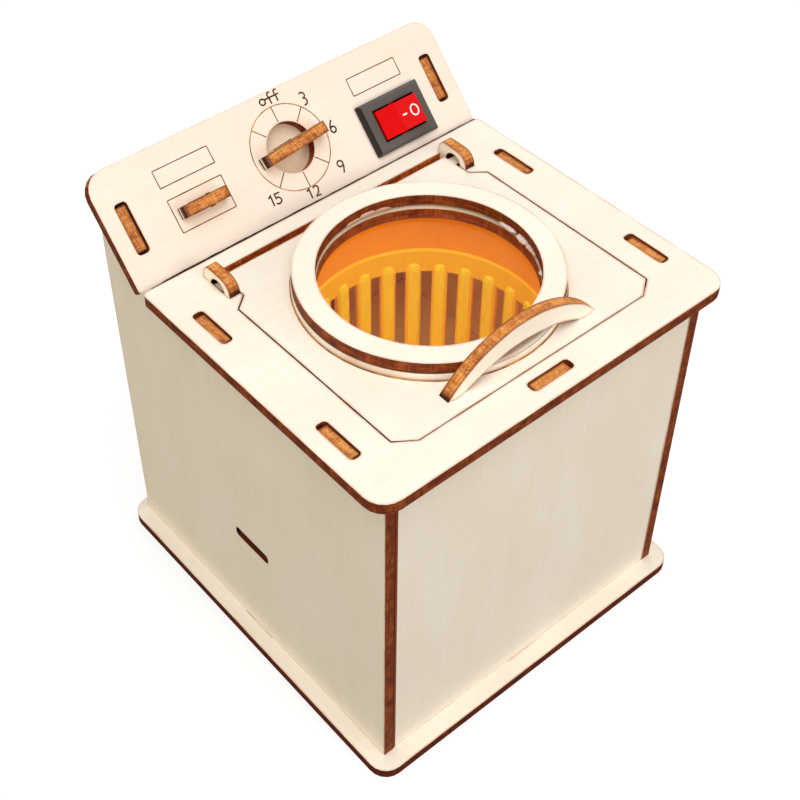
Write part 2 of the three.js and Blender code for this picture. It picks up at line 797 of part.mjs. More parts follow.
function drum() {
  const pitch = (2 * Math.PI) / slotCount;
  const [slotHigh, slotLow] = [topFace - slotTop, drumUnder + slotFootHeight];
  const slotHeight = slotHigh - slotLow;
  const slotMiddle = (slotHigh + slotLow) / 2;
  const ribHalf = (pitch * drumInner - slotWidth) / 2 - ribInset;
  const ribLength = slotHeight + 2 * (slotTop - ribTop) - 2 * ribHalf;
  let shell = solid(drumShell());
  for (let i = 0; i < slotCount; i += 1) {
    const rib = new THREE.CapsuleGeometry(ribHalf, ribLength, ribSteps, 4 * ribSteps);
    rib.rotateX(Math.PI / 2).scale(ribRise / ribHalf, 1, 1);
    rib.translate(drumInner, 0, slotMiddle).rotateZ(slotTurn + pitch * (i + 1 / 2));
    shell = shell.add(solid(rib));
  }
  const slotDeep = 2 * (drumWall + ribRise + cutOver);
  for (let i = 0; i < slotCount; i += 1) {
    const slot = new THREE.BoxGeometry(slotDeep, slotWidth, slotHeight);
    slot.translate(drumInner, 0, slotMiddle).rotateZ(slotTurn + pitch * i);
    shell = shell.subtract(solid(slot));
  }
  return surface(shell);
}

function drumHub() {
  const top = drumUnder;
  const shoulder = top - hubFlangeThick;
  const bore = shaftRadius + shaftGap;
  const outline = [
    [bore, shoulder - hubBossLength],
    [hubBossRadius, shoulder - hubBossLength],
    [hubBossRadius, shoulder],
    [hubFlangeRadius, shoulder],
    [hubFlangeRadius, top],
    [bore, top],
    [bore, shoulder - hubBossLength],
  ];
  return turned(profile(outline), boreSteps);
}

// Motor, hanging under the shelf
const canTop = shelfFoot - kerfGap;
const canFoot = canTop - canLength;
const endCapFoot = canFoot - endCapLength;

function motorShaft() {
  const low = endCapFoot - shaftTail;
  const high = drumUnder - shaftGap;
  const chamfer = shaftGap;
  const outline = [
    [0, low],
    [shaftRadius - chamfer, low],
    [shaftRadius, low + chamfer],
    [shaftRadius, high - chamfer],
    [shaftRadius - chamfer, high],
    [0, high],
  ];
  return turned(profile(outline), boreSteps);
}

// Round outline with two flats
function canOutline(grow) {
  const radius = canDiameter / 2 + grow;
  const flat = Math.asin((canAcross / 2 + grow) / radius);
  const centre = new THREE.Vector2();
  return [
    ...arcPoints(centre, radius, -flat, flat, boreSteps / 2),
    ...arcPoints(centre, radius, Math.PI - flat, Math.PI + flat, boreSteps / 2),
  ];
}

function motorCan() {
  const bore = [circlePoints(shaftRadius + runGap, boreSteps)];
  const can = board(canOutline(0), canLength, bore).translate(0, 0, canFoot);
  const boss = board(circlePoints(canBossRadius, boreSteps), canBossHeight + cutOver, bore);
  boss.translate(0, 0, canTop - cutOver);
  return surface(solid(can).add(solid(boss)));
}

function motorEndCap() {
  const bore = circlePoints(shaftRadius + runGap, boreSteps);
  return board(canOutline(-endCapInset), endCapLength, [bore]);
}

function motorTerminal() {
  const outline = rectangle(lugWidth, lugLength, lugEyelet, 0, -lugLength / 2, smallCornerSteps);
  const eyelet = new THREE.Vector2(0, -lugLength + lugWidth / 2);
  const lug = board(outline, lugThick, [circlePoints(lugEyelet, boreSteps / 2, eyelet)]);
  return lug.applyMatrix4(sideways).translate(-lugThick / 2, 0, 0);
}

function motorClamp() {
  const grow = 2 * (clampGap + clampWall);
  const collar = rectangle(canDiameter + grow, canAcross + grow, clampWall);
  const ears = rectangle(clampScrewSpacing + clampEarWidth, clampEarWidth, clampWall);
  const hole = board(canOutline(clampGap), clampHeight + 2 * cutOver).translate(0, 0, -clampHeight - cutOver);
  let clamp = solid(board(collar, clampHeight).translate(0, 0, -clampHeight));
  clamp = clamp.add(solid(board(ears, clampEarThick).translate(0, 0, -clampEarThick)));
  for (const side of [-1, 1]) {
    const bore = board(circlePoints(screwRadius + screwGap, boreSteps), clampHeight);
    bore.translate((side * clampScrewSpacing) / 2, 0, -clampHeight / 2);
    clamp = clamp.subtract(solid(bore));
  }
  return surface(clamp.subtract(solid(hole)));
}

function clampScrew() {
  const length = clampEarThick + sheet - shaftGap;
  const round = screwHeadHeight / 2;
  const outline = [
    [0, -screwHeadHeight],
    [screwHeadRadius - round, -screwHeadHeight],
    [screwHeadRadius, -round],
    [screwHeadRadius, 0],
    [screwRadius, 0],
    [screwRadius, length - screwTip],
    [0, length],
  ];
  return turned(profile(outline), boreSteps);
}

// Batteries and their tray
const troughRadius = cellRadius + cellGap;
const trayInside = cellLength + nubLength + 2 * (contactThick + cellGap);
const trayLength = trayInside + 2 * trayWall;
const trayWidth = cellPitch + 2 * (troughRadius + trayWall);
const cellHeight = trayWall + troughRadius; // axis above the tray's underside
const trayPlace = rearPanelInside - trayRearGap - trayWidth / 2;

function batteryTray() {
  let tray = solid(board(rectangle(trayLength, trayWidth, trayWall), trayHeight));
  for (const side of [-1, 1]) {
    const trough = new THREE.CylinderGeometry(troughRadius, troughRadius, trayInside, boreSteps * 2);
    trough.rotateZ(Math.PI / 2).translate(0, (side * cellPitch) / 2, cellHeight);
    tray = tray.subtract(solid(trough));
  }
  return surface(tray);
}

function battery() {
  const half = (cellLength + nubLength) / 2;
  const outline = [
    [0, -half],
    [cellRadius - cellShoulder, -half],
    [cellRadius, -half + cellShoulder],
    [cellRadius, half - nubLength - cellShoulder],
    [cellRadius - cellShoulder, half - nubLength],
    [nubRadius, half - nubLength],
    [nubRadius, half],
    [0, half],
  ];
  return new THREE.LatheGeometry(profile(outline), boreSteps).rotateZ(-Math.PI / 2);
}

function contactPlate(outline) {
  return board(cornered(outline), contactThick).applyMatrix4(sideways).translate(-contactThick / 2, 0, 0);
}

function batteryTab() {
  const [half, narrow] = [contactWidth / 2, contactWidth / 6];
  const shoulder = contactFoot + contactHeight - cellGap;
  const end = trayHeight + tabRise;
  return contactPlate([
    [-half, contactFoot], [half, contactFoot], [half, shoulder],
    [narrow, shoulder], [narrow, end], [-narrow, end], [-narrow, shoulder], [-half, shoulder],
  ]);
}

function batteryLink() {
  const outside = (cellPitch + contactWidth) / 2;
  const inside = (cellPitch - contactWidth) / 2;
  const [low, high] = [trayHeight + cellGap, trayHeight + cellGap + trayWall];
  return contactPlate([
    [-outside, contactFoot], [-inside, contactFoot], [-inside, low], [inside, low],
    [inside, contactFoot], [outside, contactFoot], [outside, high], [-outside, high],
  ]);
}

// Leads: each ends just short of its terminals
function lead(points, steps) {
  const route = new THREE.CatmullRomCurve3(points.map((point) => new THREE.Vector3(...point)), false, 'centripetal');
  const section = new THREE.Shape(circlePoints(leadRadius, leadSides));
  return new THREE.ExtrudeGeometry(section, { steps, extrudePath: route, bevelEnabled: false });
}

function switchEnd(side) {
  const level = -switchBodyDepth - (bladeReach * 2) / 3;
  const low = switchHeight - bladeWidth / 2 - seatGap;
  return [low, low - bladeWidth / 2].map((v) => {
    const point = onPanel(v, level);
    return [switchX + (side * bladeSpacing) / 2, point.x, point.y];
  });
}

// Assembly
place('base_plate', basePlate(), plywood);
place('left_side_panel', sidePanel(), plywood, [-bodyWidth / 2, 0, 0]);
place('right_side_panel', sidePanel(), plywood, [bodyInside, 0, 0]);
place('front_panel', endPanel(bodyHeight, true), plywood, [0, frontPanelInside, 0]);
place('rear_panel', endPanel(bodyHeight - rearPanelDrop, false), plywood, [0, rearPanelFace, 0]);
place('motor_shelf', motorShelf(), plywood, [0, 0, shelfFoot]);
place('top_plate', topPlate(), plywood, [0, 0, topUnder]);
place('lid_rest_strip', lidRestStrip(), plywood, [0, 0, topUnder - sheet]);
place('control_panel', controlPanel(), plywood, [0, 0, -sheet], panelGroup);

const eyeX = lidTabHalfWidth + runGap + kerfGap;
place('left_hinge_eye', hingeEye(), plywood, [-eyeX - sheet, hingeY, hingeZ]);
place('right_hinge_eye', hingeEye(), plywood, [eyeX, hingeY, hingeZ]);

place('lid_panel', lidPanel(), plywood, [0, 0, topUnder]);
place('lid_window', board(circlePoints(windowRadius, roundSteps), windowThick), clearSheet, [0, windowY, topFace]);
place('lid_ring', lidRing(), plywood, [0, windowY, topFace + windowThick]);
place('lid_handle', lidHandle(), plywood, [0, handleY + sheet, topFace]);

place('drawer_pull', drawerPull(), plywood, [0, pullPlace + sheet / 2, 0], panelGroup);
const knob = new THREE.Group();
knob.position.set(0, dialHeight, 0);
knob.rotation.z = knobTurn;
panelGroup.add(knob);
place('knob_bar', knobBar(), plywood, [0, sheet / 2, 0], knob);
place('knob_disc', knobDisc(), plywood, [0, 0, -2 * sheet - seatGap], knob);

const rockerSwitch = new THREE.Group();
rockerSwitch.position.set(switchX, switchHeight, 0);
panelGroup.add(rockerSwitch);
place('switch_housing', switchHousing(), blackPlastic, [0, 0, 0], rockerSwitch);
const rocker = place('switch_rocker', switchRocker(), redPlastic, [0, 0, rockerPivot], rockerSwitch);
rocker.rotation.y = -rockerTip;
const bladeX = bladeSpacing / 2;
place('switch_terminal_left', switchTerminal(), brassMetal, [-bladeX, 0, -switchBodyDepth], rockerSwitch);
place('switch_terminal_right', switchTerminal(), brassMetal, [bladeX, 0, -switchBodyDepth], rockerSwitch);

place('drum', drum(), orangePlastic, [0, windowY, 0]);
place('drum_hub', drumHub(), whitePlastic, [0, windowY, 0]);
place('motor_shaft', motorShaft(), steel, [0, windowY, 0]);
place('motor_can', motorCan(), steel, [0, windowY, 0]);
place('motor_end_cap', motorEndCap(), whitePlastic, [0, windowY, endCapFoot]);
place('motor_terminal_left', motorTerminal(), brassMetal, [-lugSpacing / 2, windowY, endCapFoot]);
place('motor_terminal_right', motorTerminal(), brassMetal, [lugSpacing / 2, windowY, endCapFoot]);
place('motor_clamp', motorClamp(), whitePlastic, [0, windowY, shelfFoot]);
const screwX = clampScrewSpacing / 2;
place('clamp_screw_left', clampScrew(), steel, [-screwX, windowY, shelfFoot - clampEarThick]);
place('clamp_screw_right', clampScrew(), steel, [screwX, windowY, shelfFoot - clampEarThick]);

place('battery_tray', batteryTray(), blackPlastic, [0, trayPlace, baseTop]);
const frontCell = trayPlace - cellPitch / 2;
const rearCell = trayPlace + cellPitch / 2;
place('battery_front', battery(), batteryJacket, [0, frontCell, baseTop + cellHeight]);
place('battery_rear', battery(), batteryJacket, [0, rearCell, baseTop + cellHeight]).rotation.z = Math.PI;
const contactX = trayInside / 2 - contactThick / 2;
place('battery_link', batteryLink(), steel, [-contactX, trayPlace, baseTop]);
place('battery_tab_plus', batteryTab(), steel, [contactX, frontCell, baseTop]);
place('battery_tab_minus', batteryTab(), steel, [contactX, rearCell, baseTop]);

const tabEnd = baseTop + trayHeight + tabRise + seatGap;
const lugEnd = lugSpacing / 2 + lugThick / 2 + seatGap;
const lugEyeletZ = endCapFoot - lugLength + lugWidth / 2;
const [holeX, holeY] = leadHolePlace;
const firstBladeX = switchX - bladeX;
const secondBladeX = switchX + bladeX;
const cellTop = baseTop + cellHeight + cellRadius;
const toSwitch = [
  [contactX, frontCell, tabEnd],
  [contactX, frontCell, tabEnd + leadBend],
  [contactX - leadBend, frontCell + leadBend, cellTop + 3 * leadBend],
  [holeX + 2 * leadBend, holeY - 2 * leadBend, shelfFoot - 2 * leadBend],
  [holeX + leadHalfSpacing, holeY, shelfFoot],
  [holeX + leadHalfSpacing, holeY, shelfTop + leadBend],
  [holeX + leadBend, holeY, shelfTop + leadTail],
  [(holeX + firstBladeX) / 2, holeY, panelFoot.z - 2 * leadTail],
  [firstBladeX, holeY - leadBend / 2, panelFoot.z - leadTail],
  ...switchEnd(-1).reverse(),
];
const toMotor = [
  ...switchEnd(1),
  [secondBladeX, holeY, panelFoot.z - leadTail],
  [(firstBladeX + secondBladeX) / 2, holeY + leadBend, panelFoot.z - leadTail - 2 * leadBend],
  [(holeX + firstBladeX) / 2, holeY + leadBend, panelFoot.z - 2 * leadTail],
  [holeX - leadHalfSpacing, holeY + leadHalfSpacing, shelfTop + leadTail],
  [holeX - leadHalfSpacing, holeY, shelfTop + leadBend],
  [holeX - leadHalfSpacing, holeY, shelfFoot],
  [holeX, holeY - 4 * leadBend, cellTop + 2 * leadBend],
  [holeX, frontCell - leadBend, cellTop + leadBend],
  [holeX, frontCell - 6 * leadBend, lugEyeletZ + 2 * leadBend],
  [holeX, windowY + leadBend, lugEyeletZ],
  [lugEnd + leadBend, windowY, lugEyeletZ],
  [lugEnd, windowY, lugEyeletZ],
];
const toBattery = [
  [-lugEnd, windowY, lugEyeletZ], [-9, -11, 9.5], [-13, -4, 8], [-6, 5, 7], [12, 8, 7], [29, 12, 10],
  [32, 26, 22], [29.5, 37, 26], [contactX, rearCell, 23], [contactX, rearCell, tabEnd],
];
place('lead_battery_to_switch', lead(toSwitch, 34), redLead);
place('lead_switch_to_motor', lead(toMotor, 44), redLead);
place('lead_motor_to_battery', lead(toBattery, 30), blackLead);

export default group;
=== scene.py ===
# %% [markdown]
# # A toy washing machine in laser-cut plywood
# The machine is a little cabinet of thin plywood boards that slot into each other, with a
# basket that spins under a round window. Its solids come packed from the CAD model, in
# metres, so nothing here is moved or resized. Every cell below dresses one thing: the
# boards and their burnt edges, the score lines on the control panel, the plastics, the
# metal and the glue. We load the model first and keep its box.

import math

import bmesh
import bpy
from mathutils import Matrix, Vector, noise


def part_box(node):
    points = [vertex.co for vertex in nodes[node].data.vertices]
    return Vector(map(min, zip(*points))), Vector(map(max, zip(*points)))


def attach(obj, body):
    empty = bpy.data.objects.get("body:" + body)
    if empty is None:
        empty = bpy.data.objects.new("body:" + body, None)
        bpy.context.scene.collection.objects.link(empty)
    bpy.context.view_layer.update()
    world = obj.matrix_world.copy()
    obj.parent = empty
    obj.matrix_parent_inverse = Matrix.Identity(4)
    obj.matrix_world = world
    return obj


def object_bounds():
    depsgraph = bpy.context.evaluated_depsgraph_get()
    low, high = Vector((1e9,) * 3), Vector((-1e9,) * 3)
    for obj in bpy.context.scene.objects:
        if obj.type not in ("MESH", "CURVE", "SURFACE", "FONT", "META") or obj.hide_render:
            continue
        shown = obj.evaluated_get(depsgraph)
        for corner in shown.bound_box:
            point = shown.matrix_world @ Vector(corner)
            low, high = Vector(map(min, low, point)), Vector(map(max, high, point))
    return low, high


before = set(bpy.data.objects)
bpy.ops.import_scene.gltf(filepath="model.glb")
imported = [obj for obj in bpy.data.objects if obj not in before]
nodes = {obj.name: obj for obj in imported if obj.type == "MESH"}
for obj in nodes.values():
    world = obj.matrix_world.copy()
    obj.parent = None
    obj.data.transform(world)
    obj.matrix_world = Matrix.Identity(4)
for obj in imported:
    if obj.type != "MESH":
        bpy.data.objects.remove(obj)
cad_low, cad_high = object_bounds()
millimetre = 0.001
print("parts:", len(nodes), "size in mm:", [round(s / millimetre, 1) for s in cad_high - cad_low])

# %% [markdown]
# ## Camera
# The picture looks down at the machine from its left front corner. Its right, down and
# forward directions and its lens were worked out beforehand from the straight edges of the
# boards, which is exact, where placing a camera by eye is slow. The middle of the
# perspective lies a little off the middle of the picture, which the two shifts take up.

# %% Place the camera
picture_side = 800
camera_place = Vector((-186.302, -210.539, 357.669)) * millimetre
camera_right = Vector((0.77397014, -0.63288485, -0.02066367))
camera_down = Vector((-0.45201116, -0.5293334, -0.71797776))
camera_forward = Vector((0.44345927, 0.56503356, -0.69575926))
focal_pixels = 1461.83
middle_pixels = (336.32, 339.61)

camera_data = bpy.data.cameras.new("camera")
camera_data.sensor_width = 36
camera_data.lens = focal_pixels * camera_data.sensor_width / picture_side
camera_data.shift_x = 0.5 - middle_pixels[0] / picture_side
camera_data.shift_y = middle_pixels[1] / picture_side - 0.5
camera = bpy.data.objects.new("camera", camera_data)
turn = Matrix((camera_right, -camera_down, -camera_forward)).transposed()
camera.matrix_world = Matrix.Translation(camera_place) @ turn.to_4x4()
bpy.context.scene.collection.objects.link(camera)
bpy.context.scene.camera = camera
print("lens:", round(camera_data.lens, 2), "shift:", camera_data.shift_x, camera_data.shift_y)

# %% [markdown]
# ## Light
# Small products are photographed under big soft lamps. The broadest hangs over the machine,
# so the top is brightest and the grips throw short soft shadows. Weaker ones light the
# front and the left side, and the world fills the rest. A last one stands behind: the
# cabinet's rear is open under the panel, so its light reaches the basket from outside and
# makes the orange glow. At these levels a colour comes out about as it is written.

# %% Hang the lamps
bpy.context.scene.view_settings.view_transform = "Standard"
bpy.context.scene.cycles.max_bounces = 24
bpy.context.scene.cycles.diffuse_bounces = 16
look_at = Vector((0, 0, 70)) * millimetre
lamps = (
    ("overhead_lamp", (-0.12, -0.2, 0.85), 0.8, 5.3, (0.98, 0.99, 1)),
    ("front_lamp", (0.25, -0.95, 0.35), 0.6, 3.9, (1, 0.92, 0.82)),
    ("left_lamp", (-0.95, 0.1, 0.3), 0.6, 2.6, (1, 0.86, 0.6)),
    ("back_lamp", (0.6, 0.85, 0.4), 0.6, 3.5, (1, 0.95, 0.88)),
)
for name, place, side, watts, colour in lamps:
    lamp_data = bpy.data.lights.new(name, "AREA")
    lamp_data.shape = "SQUARE"
    lamp_data.size = side
    lamp_data.energy = watts
    lamp_data.color = colour
    lamp = bpy.data.objects.new(name, lamp_data)
    lamp.location = place
    lamp.rotation_euler = (look_at - lamp.location).to_track_quat("-Z", "Y").to_euler()
    bpy.context.scene.collection.objects.link(lamp)
print("lamps:", [name for name, *_ in lamps])

# %% [markdown]
# ## Nodes and the world
# Every finish below is built from nodes, so a helper adds one with its settings and links.
# Two more stand for the nodes that we need most: one grades a value between two ends, one
# does a sum. The background of a product picture is plain white. The world turns white
# only for rays that come straight from the camera or through the clear window, so it
# doesn't flood the wood with light.


# %% Make the world
def add(tree, kind, settings=None, **inputs):
    """A new node, with its settings, and with values or links on its sockets."""
    made = tree.nodes.new(kind)
    for name, value in (settings or {}).items():
        setattr(made, name, value)
    for name, value in inputs.items():
        socket = made.inputs[int(name[1:]) if name[1:].isdigit() else name.replace("_", " ")]
        if isinstance(value, bpy.types.NodeSocket):
            tree.links.new(value, socket)
        else:
            socket.default_value = value
    return made


def grade(tree, value, start=0.0, end=1.0, low=0.0, high=1.0):
    """Goes from low to high while the value goes from start to end, and stays there."""
    return add(
        tree, "ShaderNodeMapRange",
        Value=value, From_Min=start, From_Max=end, To_Min=low, To_Max=high,
    ).outputs[0]


def reckon(tree, operation, *values):
    """What a Math node makes of one, two or three values."""
    sockets = {f"_{index}": value for index, value in enumerate(values)}
    return add(tree, "ShaderNodeMath", {"operation": operation}, **sockets).outputs[0]


fill_strength = 0.32
world = bpy.data.worlds.new("studio")
bpy.context.scene.world = world
world.use_nodes = True
tree = world.node_tree
tree.nodes.clear()
rays = add(tree, "ShaderNodeLightPath")
straight_ray = reckon(
    tree, "MAXIMUM", rays.outputs["Is Camera Ray"], rays.outputs["Is Transmission Ray"]
)
fill = add(tree, "ShaderNodeBackground", Color=(1, 0.96, 0.9, 1), Strength=fill_strength)
backdrop = add(tree, "ShaderNodeBackground", Color=(1, 1, 1, 1), Strength=1)
surround = add(
    tree, "ShaderNodeMixShader", _0=straight_ray, _1=fill.outputs[0], _2=backdrop.outputs[0]
)
add(tree, "ShaderNodeOutputWorld", Surface=surround.outputs[0])
print("world:", world.name, "fill strength:", fill_strength)

# %% [markdown]
# ## Floor
# The machine stands on paper that has to look as white as the backdrop, and still keep the
# soft shadow that seats the machine on it. So the floor is a mix: most of it glows white,
# but only for rays from the camera, and the rest is plain paper on which shadows fall.

# %% Lay the floor
floor_side = 6
floor_gap = 0.02 * millimetre
glow_share = 0.68
glow_brightness = 1.12
half = floor_side / 2
floor_corners = [(-half, -half, 0), (half, -half, 0), (half, half, 0), (-half, half, 0)]
floor_mesh = bpy.data.meshes.new("floor")
floor_mesh.from_pydata(floor_corners, [], [(0, 1, 2, 3)])
floor = bpy.data.objects.new("floor", floor_mesh)
floor.location.z = cad_low.z - floor_gap
bpy.context.scene.collection.objects.link(floor)

floor_paper = bpy.data.materials.new("floor_paper")
floor_paper.use_nodes = True
tree = floor_paper.node_tree
tree.nodes.clear()
rays = add(tree, "ShaderNodeLightPath")
paper = add(tree, "ShaderNodeBsdfDiffuse", Color=(0.9, 0.9, 0.9, 1))
strength = reckon(tree, "MULTIPLY", rays.outputs["Is Camera Ray"], glow_brightness)
glow = add(tree, "ShaderNodeEmission", Color=(1, 1, 1, 1), Strength=strength)
glowing_paper = add(
    tree, "ShaderNodeMixShader", _0=glow_share, _1=paper.outputs[0], _2=glow.outputs[0]
)
add(tree, "ShaderNodeOutputMaterial", Surface=glowing_paper.outputs[0])
floor_mesh.materials.append(floor_paper)
print("floor side in m:", floor_side)

# %% [markdown]
# ## Plywood
# Each board is thin birch plywood. Its two faces are pale and finely grained, while a
# laser has burnt every cut edge to a streaky brown. To tell the one from the other, and
# to lay the grain along the board, we need each board's own direction. It could be written
# down board by board, but the mesh already holds it, so a function measures it.


# %% Find which way each board faces
def board_directions(item):
    """The direction that most of the board's surface faces, its grain and its middle."""
    areas = {}
    for face in item.data.polygons:
        normal = face.normal
        if max(normal, key=abs) < 0:
            normal = -normal
        key = tuple(round(part, 2) for part in normal)
        total, area = areas.get(key, (Vector(), 0))
        areas[key] = (total + normal * face.area, area + face.area)
    facing = max(areas.values(), key=lambda entry: entry[1])[0].normalized()
    sideways = Vector((1, 0, 0)) if abs(facing.x) < 0.7 else Vector((0, 1, 0))
    across = facing.cross(sideways).normalized()
    along = across.cross(facing).normalized()
    reach = {}
    for name, direction in (("across", across), ("along", along), ("facing", facing)):
        places = [vertex.co.dot(direction) for vertex in item.data.vertices]
        reach[name] = (min(places), max(places))
    spans = {name: high - low for name, (low, high) in reach.items()}
    grain = across if spans["across"] > spans["along"] else along
    return facing, grain, sum(reach["facing"]) / 2


for name in ("top_plate", "control_panel", "knob_bar"):
    facing, grain, middle = board_directions(nodes[name])
    print(name, "faces", tuple(round(part, 3) for part in facing))

# %% [markdown]
# ## Patterns that every finish uses
# Before the wood itself we write what all the finishes share: a colour ramp, a mix of two
# colours, and noise that is drawn out more in one direction than in another, as grain is.
# Ready-made textures would need a picture to hold them, while noise works on any shape.


# %% Write the shared patterns
def ramp(tree, value, stops):
    """A colour ramp over the value, from pairs of place and colour."""
    made = add(tree, "ShaderNodeValToRGB", Fac=value)
    elements = made.color_ramp.elements
    while len(elements) < len(stops):
        elements.new(0.5)
    for element, (place, colour) in zip(elements, stops):
        element.position = place
        element.color = colour
    return made.outputs["Color"]


def blend_colours(tree, share, first, second, kind="MIX"):
    """Two colours, mixed or multiplied by a share."""
    made = add(tree, "ShaderNodeMix", {"data_type": "RGBA", "blend_type": kind})
    for socket, value in ((0, share), (6, first), (7, second)):
        if isinstance(value, bpy.types.NodeSocket):
            tree.links.new(value, made.inputs[socket])
        else:
            made.inputs[socket].default_value = value
    return made.outputs[2]


def stretched_noise(tree, place, per_millimetre, detail=3.0, seed=0.0):
    """Noise with its own number of waves to the millimetre in each direction."""
    scale = [waves / millimetre for waves in per_millimetre]
    moved = add(tree, "ShaderNodeMapping", Vector=place, Scale=scale, Location=(seed, seed, seed))
    return add(
        tree, "ShaderNodeTexNoise",
        Vector=moved.outputs[0], Scale=1.0, Detail=detail, Roughness=0.55,
    ).outputs[0]


def new_material(name):
    """A material that holds one shader, with its node tree and that shader."""
    made = bpy.data.materials.new(name)
    made.use_nodes = True
    made.node_tree.nodes.clear()
    shader = add(made.node_tree, "ShaderNodeBsdfPrincipled")
    add(made.node_tree, "ShaderNodeOutputMaterial", Surface=shader.outputs[0])
    return made, made.node_tree, shader


def own_place(tree):
    """Each point's place on its own piece, which stays the same when the piece moves."""
    return add(tree, "ShaderNodeTexCoord").outputs["Object"]


def paint(shader, colour, roughness, gloss=0.5):
    """Links a colour and a roughness to the shader, and sets how strongly it mirrors."""
    tree = shader.id_data
    tree.links.new(colour, shader.inputs["Base Color"])
    tree.links.new(roughness, shader.inputs["Roughness"])
    shader.inputs["Specular IOR Level"].default_value = gloss


# %% [markdown]
# ## Telling places apart
# Where a finish changes, a mask says how much: 1 in the place, 0 outside. Some masks go by
# where a surface lies and others by the way it faces. The Bevel node finds sharp corners:
# near one it turns the normal, and the more it is turned, the nearer the corner.


# %% Write the masks
barely_turned = 0.995
well_turned = 0.9


def part_along(tree, vector, axis):
    """The X, Y or Z part of a place or of a normal."""
    return add(tree, "ShaderNodeSeparateXYZ", Vector=vector).outputs[axis]


def reach_along(tree, vector, direction):
    """How far a place lies, or a normal points, in any direction."""
    return add(
        tree, "ShaderNodeVectorMath", {"operation": "DOT_PRODUCT"}, _0=vector, _1=direction
    ).outputs["Value"]


def near_corner(tree, width, normal):
    """How close to a sharp corner a place lies: 1 at the corner, 0 a part of width away."""
    rounded = add(tree, "ShaderNodeBevel", {"samples": 6}, Radius=width * millimetre)
    return grade(tree, reach_along(tree, rounded.outputs[0], normal), barely_turned, well_turned)


def within(tree, place, zones):
    """1 where a place lies in all the zones: for an axis, a middle and how far it reaches."""
    parts = add(tree, "ShaderNodeSeparateXYZ", Vector=place)
    inside = 1.0
    for axis, (middle, reach) in zones.items():
        near = reckon(tree, "COMPARE", parts.outputs[axis], middle, reach)
        inside = reckon(tree, "MULTIPLY", near, inside)
    return inside


# The box inside the cabinet where the veneer gets painted orange light from the basket.
glow_half = 49.3 * millimetre
glow_foot, glow_head = 38 * millimetre, 110.3 * millimetre
board_inset = 2.9 * millimetre
front_low, rear_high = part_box("front_panel")[0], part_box("rear_panel")[1]
inner_low = (-glow_half, front_low.y + board_inset, glow_foot)
inner_high = (glow_half, rear_high.y - board_inset, glow_head)
cabinet_inside = {
    axis: ((least + most) / 2, (most - least) / 2)
    for axis, least, most in zip("XYZ", inner_low, inner_high)
}
print("smoked from, in mm:", [round(part / millimetre, 1) for part in inner_low])
print("smoked to, in mm:", [round(part / millimetre, 1) for part in inner_high])

# %% [markdown]
# ## Veneer
# The faces of the plywood are cream birch, with long faint grain lines, short fibre flecks
# and a slow change of tone. Each is a noise drawn out along the grain. Within the cabinet
# the veneer is tinted orange: painted light, for the glow that the orange basket throws on it.

# %% Write the veneer
veneer_light = (0.955, 0.89, 0.785, 1)
veneer_dark = (0.88, 0.785, 0.655, 1)
fleck_tone = (0.9, 0.82, 0.74, 1)
cloud_tone = (0.955, 0.94, 0.915, 1)
untinted = (1, 1, 1, 1)
# Painted light: the orange glow of the basket on the cabinet's inner faces.
basket_glow_tint = (1.04, 0.84, 0.3, 1)


def veneer_face(tree, turned, place, tint):
    """The colour of a board's faces, and the grain lines that its relief follows."""
    grain_lines = stretched_noise(tree, turned, (0.02, 1.1, 0.3), 4)
    flecks = stretched_noise(tree, turned, (0.35, 3.2, 0.3), 2, 3)
    clouds = stretched_noise(tree, turned, (0.02, 0.05, 0.05), 2, 7)
    veneer = ramp(tree, grain_lines, [(0.3, veneer_dark), (0.62, veneer_light)])
    veneer = blend_colours(tree, 0.75, veneer, veneer_light)
    speckled = ramp(tree, flecks, [(0.32, fleck_tone), (0.42, untinted)])
    veneer = blend_colours(tree, 0.35, veneer, speckled, "MULTIPLY")
    clouded = ramp(tree, clouds, [(0.35, cloud_tone), (0.65, untinted)])
    veneer = blend_colours(tree, 0.8, veneer, clouded, "MULTIPLY")
    veneer = blend_colours(tree, 1.0, veneer, tint, "MULTIPLY")
    basket_glow = within(tree, place, cabinet_inside)
    return blend_colours(tree, basket_glow, veneer, basket_glow_tint, "MULTIPLY"), grain_lines


# %% [markdown]
# ## Burnt edges
# A laser burns every edge that it cuts to a streaky brown. Two noises make the streaks: one
# drawn out through the thickness for the marks of the laser, and one drawn out along the
# edge for the plies. Edges that face up are orange with pale specks, partly toast and partly
# painted light of the lamp above, and the others look charred.

# %% Write the burnt edge
char_dark = (0.055, 0.008, 0.002, 1)
char_middle = (0.2, 0.036, 0.007, 1)
char_light = (0.44, 0.11, 0.022, 1)
lit_toast_dark = (0.16, 0.032, 0.007, 1)
lit_toast_middle = (0.55, 0.165, 0.03, 1)
lit_toast_light = (0.86, 0.38, 0.09, 1)
speck_pale = (0.95, 0.66, 0.34, 1)
upward_facing = (0.35, 0.8)


